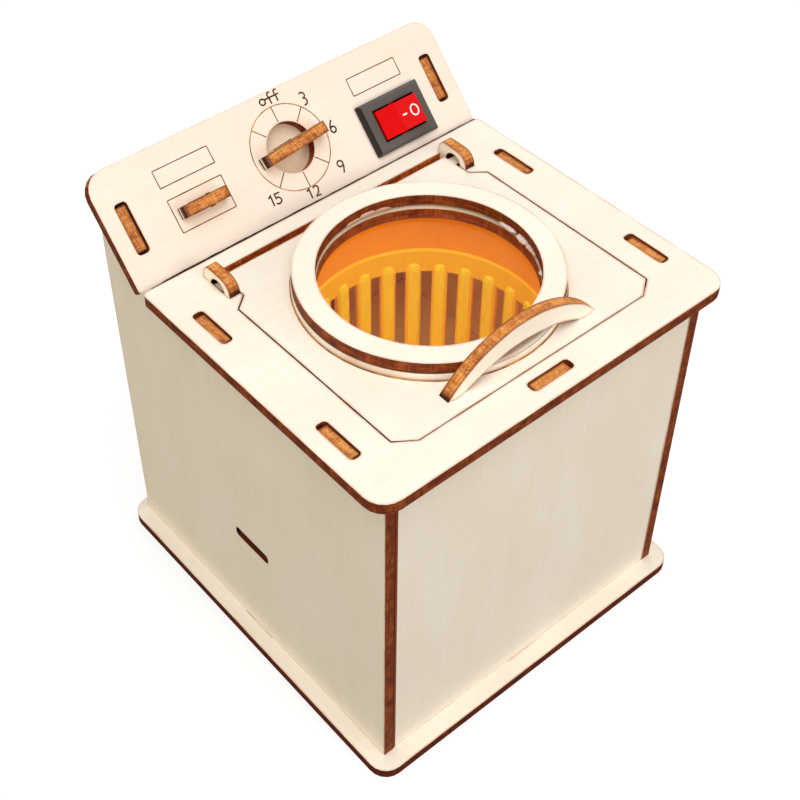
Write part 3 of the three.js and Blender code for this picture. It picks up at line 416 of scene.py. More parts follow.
def burnt_edge(tree, turned, normal, toast_and_light):
    """The colour of a cut edge, and the depth of the burn that its relief follows."""
    laser_marks = stretched_noise(tree, turned, (1.6, 1.6, 0.25), 4, 11)
    plies = stretched_noise(tree, turned, (0.18, 0.18, 1.9), 4, 17)
    patches = stretched_noise(tree, turned, (0.3, 0.3, 0.3), 2, 29)
    burn = add(tree, "ShaderNodeMix", _0=0.55, _2=laser_marks, _3=plies).outputs[0]
    burn = add(tree, "ShaderNodeMix", _0=0.3, _2=burn, _3=patches).outputs[0]
    charred = ramp(tree, burn, [(0.36, char_dark), (0.5, char_middle), (0.66, char_light)])
    toasted_and_lit = ramp(tree, burn, [(0.36, lit_toast_dark), (0.48, lit_toast_middle), (0.62, lit_toast_light)])
    specks = stretched_noise(tree, turned, (1.3, 3.4, 3.4), 3, 23)
    paler = ramp(tree, specks, [(0.54, (0, 0, 0, 1)), (0.68, (0.6, 0.6, 0.6, 1))])
    toasted_and_lit = blend_colours(tree, paler, toasted_and_lit, speck_pale)
    # Edges that face up get the toasted orange: partly toast, partly painted light from above.
    lit_upward = grade(tree, part_along(tree, normal, "Z"), *upward_facing, toast_and_light, 1.0)
    return blend_colours(tree, lit_upward, charred, toasted_and_lit), burn


# %% [markdown]
# ## Veneer and burnt edge in one material
# An image texture would need unwrapping. A node material can do it from the shape alone:
# where the surface faces the same way as the board it is veneer, and elsewhere it is a
# burnt edge. The heat also browned a narrow rim of the veneer beside each cut, more in
# some places than in others, and a noise stands for that.

# %% Write the plywood material
rim_light = (0.5, 0.17, 0.04, 1)
rim_dark = (0.2, 0.05, 0.012, 1)
rim_width = 1.1
face_squareness = 0.8
wood_relief = 0.1
wood_gloss = 0.15


def press_relief(tree, shader, height, strength, depth):
    """Shades the surface as if the height had pressed it in, to a depth in millimetres."""
    bump = add(
        tree, "ShaderNodeBump", Height=height, Strength=strength, Distance=depth * millimetre
    ).outputs[0]
    tree.links.new(bump, shader.inputs["Normal"])


def plywood(name, facing, grain, middle, toast_and_light, browning, tint):
    """Birch plywood that faces one way, its edges toasted and painted lit and its rims browned as
    is asked.
    """
    made, tree, shader = new_material(name)
    here = add(tree, "ShaderNodeTexCoord")
    board_turn = Matrix((grain, facing.cross(grain), facing)).to_euler()
    turned = add(
        tree, "ShaderNodeMapping",
        Vector=here.outputs["Object"], Rotation=board_turn, Location=(0, 0, -middle),
    ).outputs[0]
    squareness = reckon(tree, "ABSOLUTE", reach_along(tree, here.outputs["Normal"], facing))
    cut = reckon(tree, "LESS_THAN", squareness, face_squareness)
    veneer, grain_lines = veneer_face(tree, turned, here.outputs["Object"], tint)
    edge, burn = burnt_edge(tree, turned, here.outputs["Normal"], toast_and_light)

    heat = stretched_noise(tree, turned, (0.12, 0.12, 0.12), 2, 31)
    heat = grade(tree, heat, 0.35, 0.6, 0.35 * browning, browning)
    true_normal = add(tree, "ShaderNodeNewGeometry").outputs["Normal"]
    corner = near_corner(tree, rim_width, true_normal)
    veneer = blend_colours(tree, reckon(tree, "MULTIPLY", corner, heat), veneer, rim_light)
    edge = blend_colours(tree, corner, edge, rim_dark)

    colour = blend_colours(tree, cut, veneer, edge)
    paint(shader, colour, grade(tree, burn, low=0.5, high=0.8), wood_gloss)
    relief = add(tree, "ShaderNodeMix", _0=cut, _2=grain_lines, _3=burn).outputs[0]
    press_relief(tree, shader, relief, 0.35, wood_relief)
    return made


# %% [markdown]
# ## Dress the boards
# Each plywood board gets its own copy, because its direction differs. The small upright
# pieces, such as the handle and the hinge eyes, have paler edges than the big boards:
# partly painted light of the lamp above on them.


# %% Give every board its plywood
def is_board(item):
    """Whether the CAD model made the part of plywood."""
    made_of = [slot.material.name for slot in item.material_slots if slot.material]
    return any(name.startswith("plywood") for name in made_of)


pale_edged = {"lid_handle": 0.35, "drawer_pull": 0.35, "knob_bar": 0.35,
              "left_hinge_eye": 0.3, "right_hinge_eye": 0.3}
browned = {"control_panel": 0.25, "knob_disc": 0.1, "lid_ring": 0.6, "lid_handle": 1.0,
           "drawer_pull": 1.0, "left_hinge_eye": 1.0, "right_hinge_eye": 1.0}
usual_browning = 0.7
tinted = {"control_panel": (0.97, 0.9, 0.885, 1), "knob_disc": (1, 0.95, 0.85, 1),
          "knob_bar": (0.72, 0.4, 0.2, 1), "drawer_pull": (0.72, 0.4, 0.2, 1)}
board_names = sorted(name for name, item in nodes.items() if is_board(item))
for name in board_names:
    facing, grain, middle = board_directions(nodes[name])
    board_wood = plywood(
        f"plywood_{name}", facing, grain, middle, pale_edged.get(name, 0.0),
        browned.get(name, usual_browning), tinted.get(name, untinted),
    )
    for slot in nodes[name].material_slots:
        slot.material = board_wood
print("boards:", len(board_names))

# %% [markdown]
# ## Plastics
# The basket is moulded in a bright orange plastic. The switch has a matt dark bezel with a
# fine moulded texture and a satin red rocker. Noise breaks up each colour and its gloss,
# since no moulding is perfectly even.


# %% Write the plastic materials
def moulded_plastic(name, colour, other, rough, texture, relief, gloss=0.5):
    """Plastic whose colour wanders between two, with a fine moulded texture."""
    made, tree, shader = new_material(name)
    place = own_place(tree)
    slow = stretched_noise(tree, place, (0.06, 0.06, 0.06), 2)
    fine = stretched_noise(tree, place, (texture, texture, texture), 3, 5)
    wandering = ramp(tree, slow, [(0.35, colour), (0.65, other)])
    paint(shader, wandering, grade(tree, fine, low=rough - 0.08, high=rough + 0.1), gloss)
    press_relief(tree, shader, fine, 0.4, relief)
    return made


finishes = {}
for name, *look in (
    ("orange_plastic", (1, 0.74, 0.022, 1), (1, 0.8, 0.026, 1), 0.42, 0.7, 0.03, 0.05),
    # This grey is partly painted sheen; the bezel's walls get painted shade in a later cell.
    ("black_plastic", (0.085, 0.072, 0.066, 1), (0.11, 0.095, 0.088, 1), 0.42, 5, 0.02, 0.35),
    ("red_plastic", (0.66, 0.001, 0.002, 1), (0.74, 0.002, 0.004, 1), 0.4, 2, 0.01, 0.1),
    ("white_plastic", (0.85, 0.84, 0.8, 1), (0.8, 0.79, 0.74, 1), 0.35, 2, 0.01),
    ("red_lead", (0.6, 0.01, 0.01, 1), (0.68, 0.015, 0.012, 1), 0.38, 3, 0.01),
    ("black_lead", (0.02, 0.02, 0.022, 1), (0.03, 0.03, 0.032, 1), 0.4, 3, 0.01),
):
    finishes[name] = moulded_plastic(name, *look)
print("plastics:", sorted(finishes))

# %% [markdown]
# ## Painted light and shade in the basket
# One colour isn't the whole finish. The basket's collar, above its step, is painted deeper:
# painted shade, where the lid shades it. The wall between the ribs is painted darker and
# redder: painted shade, lit only by light bounced in the basket, while the raised ribs keep
# the paler, yellower colour of plastic in direct light. The height and the distance from
# the basket's axis tell them apart. The wall is also thin enough to pass some light on into
# the cabinet, so a little of a translucent shader is mixed in.


# %% Tone the basket
def node_of(tree, kind):
    """The tree's first node of a kind."""
    return next(item for item in tree.nodes if item.bl_idname == kind)


def wood_of(name):
    """The plywood that a board was given, and its node tree."""
    board_wood = nodes[name].material_slots[0].material
    return board_wood, board_wood.node_tree


def recolour(made, share, colour, kind="MULTIPLY"):
    """Multiplies or mixes the finished material's own colour with another, where share is 1."""
    tree = made.node_tree
    shader = node_of(tree, "ShaderNodeBsdfPrincipled")
    own = shader.inputs["Base Color"].links[0].from_socket
    toned = blend_colours(tree, share, own, colour, kind)
    tree.links.new(toned, shader.inputs["Base Color"])
    return shader


def show_mixed(tree, share, first, second):
    """Puts a mix of two shaders on the material's output."""
    mixed = add(tree, "ShaderNodeMixShader", _0=share, _1=first.outputs[0], _2=second.outputs[0])
    output = node_of(tree, "ShaderNodeOutputMaterial")
    tree.links.new(mixed.outputs[0], output.inputs["Surface"])


step_height = 95.6 * millimetre
rib_face = 32.15 * millimetre
tone_change = 0.3 * millimetre
light_through = 0.1
basket = finishes["orange_plastic"]
tree = basket.node_tree
basket_low, basket_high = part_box("drum")
basket_axis = (basket_low + basket_high) / 2
basket_axis.z = 0
place = own_place(tree)
# Painted shade on the collar, where the lid shades it.
collar_shade = grade(tree, part_along(tree, place, "Z"), step_height, step_height + tone_change)
level_place = add(
    tree, "ShaderNodeVectorMath", {"operation": "MULTIPLY"}, _0=place, _1=(1, 1, 0)
).outputs[0]
from_axis = add(
    tree, "ShaderNodeVectorMath", {"operation": "DISTANCE"}, _0=level_place, _1=basket_axis
).outputs["Value"]
# Painted shade on the wall between the ribs, which keep the lit colour.
wall_shade = grade(tree, from_axis, rib_face - tone_change, rib_face)
recolour(basket, wall_shade, (1, 0.77, 0.4, 1))
shader = recolour(basket, collar_shade, (1, 0.66, 0.9, 1))
through = add(tree, "ShaderNodeBsdfTranslucent", Color=(1, 0.45, 0.02, 1))
show_mixed(tree, light_through, shader, through)
print("basket axis in mm:", [round(part / millimetre, 2) for part in basket_axis])

# %% [markdown]
# ## Painted shade on the switch's bezel
# The bezel's top keeps a grey that is partly painted sheen, while its walls and its left
# bevel are darkened to black: painted shade, where they face away from the lamps. The way a
# surface faces tells them apart. The panel is tilted, so we first write down its own three
# directions, which also place everything else that sits on it.

# %% Tone the bezel
panel_tilt = math.radians(46.87)
panel_right = Vector((1, 0, 0))
panel_up = Vector((0, math.cos(panel_tilt), math.sin(panel_tilt)))
panel_out = Vector((0, -math.sin(panel_tilt), math.cos(panel_tilt)))
wall_facing = (0.5, 0.3)
bevel_facing = (-0.35, -0.6)
bezel = finishes["black_plastic"]
tree = bezel.node_tree
normal = add(tree, "ShaderNodeNewGeometry").outputs["Normal"]
# Painted shade: the walls and the left bevel are darkened by the way they face.
shaded_walls = grade(tree, reach_along(tree, normal, panel_out), *wall_facing)
shaded_left_bevel = grade(tree, part_along(tree, normal, "X"), *bevel_facing)
recolour(bezel, shaded_walls, (0.15, 0.13, 0.13, 1))
recolour(bezel, shaded_left_bevel, (0.1, 0.08, 0.08, 1))
print("the panel faces", tuple(round(part, 3) for part in panel_out))

# %% [markdown]
# ## Painted light on the rear edge of the lid's opening
# This edge is lightened from brown to orange: painted light, as it faces the front and the
# viewer looks straight at it. Its place along the board picks it, together with the way it
# faces, because the veneer that starts right behind it has to stay as it is.

# %% Paint light on the opening's rear edge
opening_rear = 26.7 * millimetre
edge_reach = 0.3 * millimetre
forward_facing = -0.8
top_board, tree = wood_of("top_plate")
geometry = add(tree, "ShaderNodeNewGeometry")
at_rear = within(tree, geometry.outputs["Position"], {"Y": (opening_rear, edge_reach)})
facing = part_along(tree, geometry.outputs["Normal"], "Y")
lit_front_face = reckon(tree, "LESS_THAN", facing, forward_facing)
# Painted light: the front-facing rear edge is lightened to orange.
recolour(top_board, reckon(tree, "MULTIPLY", at_rear, lit_front_face), (2.6, 2.8, 2.2, 1))
print("opening's rear edge in mm:", round(opening_rear / millimetre, 1))

# %% [markdown]
# ## Boards that burnt otherwise in places, and a painted shadow line
# The laser was slower on some cuts. The base plate's edge and the shelf's tenon in its slot
# are nearly black, and a band of the front board is scorched where it meets the left side
# board. The black line between them is painted shadow, where the front board sits a little
# back. The right wall of the lid's opening is only orange. Every such place is told by the
# few millimetres that it fills along each axis, written as a middle and a reach to both sides.

# %% Burn the base, the tenon and the front corner, and paint the corner's shadow line
corner_line = -49.17
burns_and_shadow_line = (
    ("base_plate", {"Z": (1.6, 1.59)}, (0.55, 0.4, 0.42, 1), "MULTIPLY"),
    ("motor_shelf", {"X": (-51, 1.6)}, (0.5, 0.33, 0.36, 1), "MULTIPLY"),
    ("left_side_panel", {"X": (-50.77, 1.5), "Y": (0, 50), "Z": (39.9, 2.2)},
     (0.22, 0.12, 0.14, 1), "MULTIPLY"),
    # At the front corner: a painted shadow line on the side board, the scorched band and a painted
    # shadow line on the front board.
    ("left_side_panel", {"X": (corner_line, 0.3)}, (0.3, 0.25, 0.25, 1), "MULTIPLY"),
    ("front_panel", {"X": (corner_line, 0.85)}, (0.26, 0.055, 0.018, 1), "MIX"),
    ("front_panel", {"X": (corner_line, 0.22)}, (0.04, 0.01, 0.005, 1), "MIX"),
    ("top_plate", {"X": (42.3, 0.05), "Y": (-11, 38), "Z": (111.6, 1.6)},
     (0.46, 0.11, 0.014, 1), "MIX"),
)
for name, zones, tone, kind in burns_and_shadow_line:
    board, tree = wood_of(name)
    place = add(tree, "ShaderNodeNewGeometry").outputs["Position"]
    in_metres = {
        axis: (middle * millimetre, reach * millimetre)
        for axis, (middle, reach) in zones.items()
    }
    recolour(board, within(tree, place, in_metres), tone, kind)
print("places that burnt otherwise:", len(burns_and_shadow_line))

# %% [markdown]
# ## Painted shade on the grips' left ends
# The left ends of the dial's grip and of the drawer's pull are painted in bands: black at the
# foot and dark brown above, painted shade where they face away from the lamps, with a pale
# ply line between and a grey-brown painted glint at the top. The height above the panel
# picks the band. The left side is told in the scene's directions, so when the dial turns,
# the bands stay on whichever side of its grip faces left.

# %% Band the grips' left ends
panel_foot = Vector((0, 33.2, 112.33)) * millimetre
panel_level = panel_foot.dot(panel_out)
end_facing = (-0.6, -0.8)
pale_ply = (0.85, 0.75, 0.6, 1)
# Painted shade and a painted glint, from the foot to the top of a left end.
shaded_end_bands = [
    (0.16, (0.01, 0.004, 0.002, 1)), (0.2, pale_ply), (0.33, pale_ply),
    (0.38, (0.02, 0.007, 0.003, 1)), (0.6, (0.06, 0.02, 0.012, 1)),
    (0.85, (0.2, 0.1, 0.08, 1)),
]
for name in ("knob_bar", "drawer_pull"):
    grip, tree = wood_of(name)
    place = own_place(tree)
    crest = max(vertex.co.dot(panel_out) for vertex in nodes[name].data.vertices)
    height = grade(tree, reach_along(tree, place, panel_out), panel_level, crest)
    normal = add(tree, "ShaderNodeNewGeometry").outputs["Normal"]
    shaded_left_end = grade(tree, part_along(tree, normal, "X"), *end_facing)
    recolour(grip, shaded_left_end, ramp(tree, height, shaded_end_bands), "MIX")
    tall = (crest - panel_level) / millimetre
    print(name, "stands above the panel, in mm:", round(tall, 2))

# %% [markdown]
# ## Painted shade at the feet of the handle and the hinge eyes
# Their cut edges are darkened only where they meet the lid and the top: painted shade in the
# crease there, so the height picks the place. Their flat faces stay veneer: we leave out
# what faces along the flat axis. Height and axis are the scene's, so the handle's dark feet
# fade as the lid swings up.

# %% Darken the feet
crease_shade_tone = (0.2, 0.12, 0.09, 1)
full_tone_share = 0.4
flat_facing = 0.5
board_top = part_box("top_plate")[1].z
for name, flat_axis, reach in (
    ("lid_handle", "Y", 1.6), ("left_hinge_eye", "X", 1.9), ("right_hinge_eye", "X", 1.9),
):
    upright, tree = wood_of(name)
    geometry = add(tree, "ShaderNodeNewGeometry")
    # Painted shade at the foot, where the upright meets the board below.
    foot = grade(
        tree, part_along(tree, geometry.outputs["Position"], "Z"),
        board_top + reach * millimetre, board_top + full_tone_share * reach * millimetre,
    )
    flatness = part_along(tree, geometry.outputs["Normal"], flat_axis)
    cut = reckon(tree, "LESS_THAN", reckon(tree, "ABSOLUTE", flatness), flat_facing)
    recolour(upright, reckon(tree, "MULTIPLY", foot, cut), crease_shade_tone)
print("top board's upper face in mm:", round(board_top / millimetre, 2))

# %% [markdown]
# ## Metals
# Motor, terminals, screws and battery contacts are steel or brass with a drawn, slightly
# uneven surface. Fine noise drawn out along the metal varies its gloss, and a broader one
# its colour.


# %% Write the metals
def drawn_metal(name, colour, other, rough):
    """Metal whose colour wanders between two, with drawn lines in its gloss."""
    made, tree, shader = new_material(name)
    place = own_place(tree)
    drawn_lines = stretched_noise(tree, place, (0.4, 0.4, 9), 3)
    stains = stretched_noise(tree, place, (0.3, 0.3, 0.3), 3, 9)
    stained = ramp(tree, stains, [(0.35, colour), (0.65, other)])
    paint(shader, stained, grade(tree, drawn_lines, low=rough - 0.1, high=rough + 0.15))
    shader.inputs["Metallic"].default_value = 1.0
    return made


finishes["steel"] = drawn_metal("steel", (0.62, 0.61, 0.6, 1), (0.52, 0.52, 0.51, 1), 0.32)
finishes["brass"] = drawn_metal("brass", (0.8, 0.55, 0.22, 1), (0.7, 0.46, 0.18, 1), 0.28)
print("metals: steel and brass")

# %% [markdown]
# ## The clear sheet
# The window is a clear acrylic disc. Real glass shaders stop lamp light, so rays towards a
# lamp pass straight through it, and the basket below stays lit.

# %% Write the window
clear_bending = 1.24
clear, tree, acrylic = new_material("clear_sheet")
acrylic.inputs["Base Color"].default_value = (1, 1, 1, 1)
acrylic.inputs["Transmission Weight"].default_value = 1.0
acrylic.inputs["IOR"].default_value = clear_bending
place = own_place(tree)
haze = stretched_noise(tree, place, (0.15, 0.15, 0.15), 3)
tree.links.new(grade(tree, haze, low=0.0, high=0.05), acrylic.inputs["Roughness"])
rays = add(tree, "ShaderNodeLightPath")
passing = add(tree, "ShaderNodeBsdfTransparent", Color=(0.96, 0.96, 0.96, 1))
show_mixed(tree, rays.outputs["Is Shadow Ray"], acrylic, passing)
finishes["clear_sheet"] = clear
print("the clear sheet bends light by", clear_bending)

# %% [markdown]
# ## Batteries
# A battery's jacket is a printed sleeve. These are plain: dark with a band in copper
# colour towards one end, both lying along the cell.

# %% Write the battery jacket
band_start, band_full = 11.5 * millimetre, 11.8 * millimetre
jacket, tree, shader = new_material("battery_jacket")
place = own_place(tree)
band = grade(tree, part_along(tree, place, "X"), band_start, band_full)
wear = stretched_noise(tree, place, (0.5, 0.5, 0.5), 3)
dark = ramp(tree, wear, [(0.3, (0.012, 0.012, 0.014, 1)), (0.7, (0.02, 0.02, 0.023, 1))])
copper = ramp(tree, wear, [(0.3, (0.55, 0.22, 0.07, 1)), (0.7, (0.62, 0.27, 0.1, 1))])
paint(shader, blend_colours(tree, band, dark, copper), grade(tree, wear, low=0.25, high=0.4))
finishes["battery_jacket"] = jacket
print("copper band from, in mm:", round(band_start / millimetre, 1))

# %% [markdown]
# ## Dress the other parts
# The CAD model gave each part a plain material that is named for its stuff. Wherever a
# finish of that name has been written above, it takes the plain one's place.

# %% Give the other parts their finishes
for item in nodes.values():
    for slot in item.material_slots:
        stuff = slot.material.name.split(".")[0]
        if stuff in finishes:
            slot.material = finishes[stuff]
left_over = sorted({
    slot.material.name for item in nodes.values() for slot in item.material_slots
    if not slot.material.name.startswith("plywood_") and slot.material.name not in finishes
})
print("finishes:", len(finishes), "parts without one:", left_over)

# %% [markdown]
# ## Score lines on the control panel
# The laser also drew on the panel at low power: two blank labels, a drawer front, a dial
# and its numbers. A texture would blur close up, so each stroke is a mesh: a line of
# points gets a left and a right edge, and a slightly raised middle. The panel's own
# directions place them, and each point is dropped onto the surface below it.


# %% Find the places of a stroke
drop_height = 20


def on_panel(x, up, out=0.0):
    return panel_foot + (panel_right * x + panel_up * up + panel_out * out) * millimetre


def dropped(item, x, up, lift):
    """The point of the item's surface under a place on the panel, lifted a little."""
    start = on_panel(x, up, drop_height)
    hit, where, _, _ = item.ray_cast(start, -panel_out)
    return (where if hit else on_panel(x, up)) + panel_out * lift * millimetre


def stroke_sides(points, width, closed):
    """For each point of a line, the step sideways from it to the stroke's edge."""
    sides = []
    count = len(points)
    for index, point in enumerate(points):
        before = points[index - 1] if index or closed else point
        after = points[(index + 1) % count] if index < count - 1 or closed else point
        first = (Vector(point) - Vector(before)).normalized() if before != point else None
        second = (Vector(after) - Vector(point)).normalized() if after != point else None
        if first is None or second is None:
            direction, stretch = (second or first), 1.0
        else:
            direction = (first + second).normalized()
            stretch = 1 / max(0.5, direction.dot(second))
        sides.append(Vector((-direction.y, direction.x)) * width / 2 * stretch)
    return sides


# %% [markdown]
# ## From points to a mesh
# Across its width a stroke has four points: two edges that are sunk into the wood, and two
# between them that are raised a little. Rows of these, joined by faces, make the stroke.


# %% Draw strokes on a surface
edge_sunk = -0.02
crown_share = 0.7


def finished(mesh, name, material, smooth=True):
    """The mesh as an object that shows the material."""
    bmesh.ops.recalc_face_normals(mesh, faces=mesh.faces)
    data = bpy.data.meshes.new(name)
    mesh.to_mesh(data)
    mesh.free()
    for face in data.polygons:
        face.use_smooth = smooth
    data.materials.append(material)
    made = bpy.data.objects.new(name, data)
    bpy.context.scene.collection.objects.link(made)
    print(name, "faces:", len(data.polygons))
    return made


def draw_strokes(name, item, strokes, material, lift=0.03):
    """One mesh of all the strokes: (points, width, closed), in millimetres on the panel."""
    mesh = bmesh.new()
    for points, width, closed in strokes:
        rows = []
        for point, side in zip(points, stroke_sides(points, width, closed)):
            row = []
            for share, high in (
                (-1, edge_sunk), (-crown_share, lift), (crown_share, lift), (1, edge_sunk),
            ):
                x, up = point[0] + side.x * share, point[1] + side.y * share
                row.append(mesh.verts.new(dropped(item, x, up, high)))
            rows.append(row)
        pairs = list(zip(rows, rows[1:]))
        if closed:
            pairs.append((rows[-1], rows[0]))
        else:
            mesh.faces.new(rows[0])
            mesh.faces.new(rows[-1][::-1])
        for one, two in pairs:
            for left in range(3):
                mesh.faces.new((one[left], two[left], two[left + 1], one[left + 1]))
    return finished(mesh, name, material, False)


# %% [markdown]
# ## Numbers drawn with one stroke
# The dial's numbers are thin single-line figures, like handwriting. Each one is described
# in its own little square, one unit high, from straight lines and arcs.


# %% Describe the figures
def arc(centre, radii, start, end, steps=10):
    """Points on an oval, from one angle to another in degrees."""
    turns = [math.radians(start + (end - start) * step / steps) for step in range(steps + 1)]
    return [(centre[0] + radii[0] * math.cos(t), centre[1] + radii[1] * math.sin(t)) for t in turns]


figures = {
    "1": [[(0.0, 0.83), (0.32, 1.0), (0.26, 0.0)]],
    "2": [arc((0.28, 0.72), (0.28, 0.28), 150, -20) + [(0.4, 0.3), (0.04, 0.02), (0.58, 0.0)]],
    "3": [arc((0.24, 0.76), (0.26, 0.24), 130, -95), arc((0.22, 0.27), (0.28, 0.27), 90, -110)],
    "5": [[(0.76, 0.96), (0.21, 0.98), (0.2, 0.58)] + arc((0.32, 0.3), (0.34, 0.3), 110, -150)],
    "6": [
        [(0.42, 1.0), (0.17, 0.69), (0.05, 0.41)] + arc((0.26, 0.24), (0.24, 0.24), 145, 505, 16)
    ],
    "9": [arc((0.28, 0.76), (0.25, 0.24), -20, 340, 16) + [(0.5, 0.5), (0.28, 0.0)]],
    "o": [arc((0.3, 0.45), (0.27, 0.27), 0, 360, 16)],
    "f": [[(0.35, 0.98), (0.18, 1.02), (0.05, 0.97), (0.0, 0.82), (0.06, 0.45), (0.06, 0.0)]],
}
dial_middle = (0, 16)
figure_line = 0.54


def written(text, left, foot, height, gap):
    """The strokes of a text whose lower left corner is at left, foot on the panel."""
    strokes = []
    for letter in text:
        for stroke in figures[letter]:
            points = [(left + u * height, foot + v * height) for u, v in stroke]
            strokes.append((points, figure_line, False))
        left += gap * height
    return strokes


# Each text, with its left end, foot and height and the step to its next letter.
texts = (
    ("3", 9.1, 24.3, 3.5, 0), ("6", 13.3, 14.3, 3.45, 0), ("9", 10.3, 3.45, 3.5, 0),
    ("12", -1.65, 1.2, 2.75, 0.74), ("15", -12.9, 4.05, 2.85, 0.55),
    ("o", -2.5, 28.4, 3.1, 0), ("ff", 0.6, 28.4, 3.1, 0.68),
)
numbers = [stroke for text in texts for stroke in written(*text)]
crossbar = [(-0.72, 30.15), (3.9, 30.2)]
numbers.append((crossbar, figure_line, False))
print("strokes of the numbers:", len(numbers))

# %% [markdown]
# ## The dial, the labels and the drawer front
# Their lines are finer than the figures. The dial is a ring around the hole with six
# spokes; the grip covers where two more would be. Long lines get many points, so that they
# follow the surface.


# %% Lay out the panel's lines
fine_line = 0.34
dial_radius = 11.8
hole_radius = 7.1
spoke_gap = 0.2
spoke_angles = (45, 90, 135, 225, 270, 315)
rectangles = {
    "left label": (-39.0, -22.0, 21.2, 26.0),
    "right label": (24.6, 41.4, 20.6, 25.6),
    "drawer front": (-38.9, -22.1, 8.6, 17.7),
}


def straight(start, end, steps=8):
    """Points from start to end, close enough together to follow the surface."""
    return [tuple(Vector(start).lerp(Vector(end), step / steps)) for step in range(steps + 1)]


def frame_lines(left, right, foot, top):
    """The four sides of a rectangle."""
    corners = [(left, foot), (right, foot), (right, top), (left, top)]
    return [(straight(corners[i], corners[(i + 1) % 4]), fine_line, False) for i in range(4)]


rings = [(arc(dial_middle, (dial_radius, dial_radius), 0, 360, 96)[:-1], fine_line, True)]
straight_lines = []
for angle in spoke_angles:
    toward = Vector((math.cos(math.radians(angle)), math.sin(math.radians(angle))))
    inner_end = Vector(dial_middle) + toward * (hole_radius + spoke_gap)
    outer_end = Vector(dial_middle) + toward * dial_radius
    straight_lines.append((straight(inner_end, outer_end), fine_line, False))
for sides in rectangles.values():
    straight_lines += frame_lines(*sides)
print("spokes:", len(spoke_angles), "rectangles:", list(rectangles))

# %% [markdown]
# ## The colour of a scored line
# A line burns deeper where the laser slows, so its brown wanders along the way. The darkest,
# for the painted shade and the char in the seam and the slots, is nearly black, the numbers
# are dark brown, the straight lines lighter, and the dial's ring is so faint that the wood
# shows through it.


# %% Burn the panel's lines
def burn_line(name, dark, light):
    """A burnt stroke whose colour wanders from dark to light along its way."""
    made, tree, shader = new_material(name)
    place = own_place(tree)
    wander = stretched_noise(tree, place, (0.25, 0.25, 0.25), 3)
    brown = ramp(tree, wander, [(0.38, dark), (0.6, light)])
    paint(shader, brown, grade(tree, wander, low=0.6, high=0.85), 0.1)
    return made


# Nearly black: painted shade with the char of burnt edges, for the seam and the slots.
deep_burn = burn_line("deep_burn", (0.012, 0.004, 0.002, 1), (0.05, 0.016, 0.006, 1))
figure_burn = burn_line("figure_burn", (0.03, 0.009, 0.004, 1), (0.13, 0.045, 0.018, 1))
brown_burn = burn_line("brown_burn", (0.07, 0.018, 0.005, 1), (0.26, 0.09, 0.025, 1))
faint_burn = burn_line("faint_burn", (0.2, 0.06, 0.012, 1), (0.62, 0.27, 0.07, 1))
panel = nodes["control_panel"]
panel_numbers = draw_strokes("panel_numbers", panel, numbers, figure_burn)
panel_lines = draw_strokes("panel_lines", panel, straight_lines, brown_burn)
dial_ring = draw_strokes("dial_ring", panel, rings, faint_burn)
for piece in (panel_lines, panel_numbers, dial_ring):
    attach(piece, "cabinet")

# %% [markdown]
# ## Painted shade and char in the seam under the panel
# Between the top plate and the foot of the panel runs a narrow groove. Both its edges were
# burnt black by the laser, and the groove lies in shade. A thin dark strip just below the
# surface stands for both, painted shade and char; it narrows towards the right and wanders
# a little along the groove.


# %% Fill the seam with painted shade and char
def skin_rows(mesh, rows, closed=False):
    """Faces between each section and the next, and over both ends unless it is closed."""
    pairs = list(zip(rows, rows[1:])) + ([(rows[-1], rows[0])] if closed else [])
    for one, two in pairs:
        for side in range(len(one)):
            after = (side + 1) % len(one)
            mesh.faces.new((one[side], two[side], two[after], one[after]))
    if not closed:
        mesh.faces.new(rows[0])
        mesh.faces.new(rows[-1][::-1])


seam_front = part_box("top_plate")[1].y
seam_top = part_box("top_plate")[1].z - 0.2 * millimetre
seam_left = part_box("control_panel")[0].x + 3.6 * millimetre
seam_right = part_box("control_panel")[1].x - 0.5 * millimetre
seam_widths = (1.0 * millimetre, 0.65 * millimetre)
seam_depth = 0.5 * millimetre
seam_slope = 0.05 * millimetre
seam_wave, seam_unevenness = 2.5 * millimetre, 0.18
left_end_width, left_end_growth = 0.2, 20
seam_steps = 90
# One dark mesh: painted shade with char, in the seam and, below, in the slots.
shade_and_char = bmesh.new()
rows = []
for step in range(seam_steps + 1):
    share = step / seam_steps
    x = seam_left + (seam_right - seam_left) * share
    wander = noise.noise(Vector((x / seam_wave, 0.3, 0.7)))
    width = seam_widths[0] + (seam_widths[1] - seam_widths[0]) * share
    opened = min(1, left_end_width + left_end_growth * share)
    back = seam_front + width * (1 + seam_unevenness * wander) * opened
    top = seam_top + seam_slope * wander
    bottom = seam_top - seam_depth
    section = (
        (seam_front, bottom), (seam_front, top), (back, top - seam_slope), (back, bottom)
    )
    rows.append([shade_and_char.verts.new((x, y, z)) for y, z in section])
skin_rows(shade_and_char, rows)
print("seam in mm:", round((seam_right - seam_left) / millimetre, 1))

# %% [markdown]
# ## Painted shade and char in the slots
# The slots in the panel and in the dial's disc are a little wider than the tenons in them.
# A dark block fills each gap, or daylight would shine through it: painted shade for the
# depth of the gap, with the char of its walls. It is a plain block, sunk below the surface,
# as nobody sees more of it than a dark line. The dial's own block is turned with its grip.


# %% Fill the slots with painted shade and char
def plug(mesh, left, right, foot, head, shallow, deep):
    """A block square to the panel, between two depths, in millimetres."""
    outline = ((left, foot), (right, foot), (right, head), (left, head))
    front, rear = (
        [mesh.verts.new(on_panel(x, up, -depth)) for x, up in outline] for depth in (shallow, deep)
    )
    skin_rows(mesh, [front, rear])


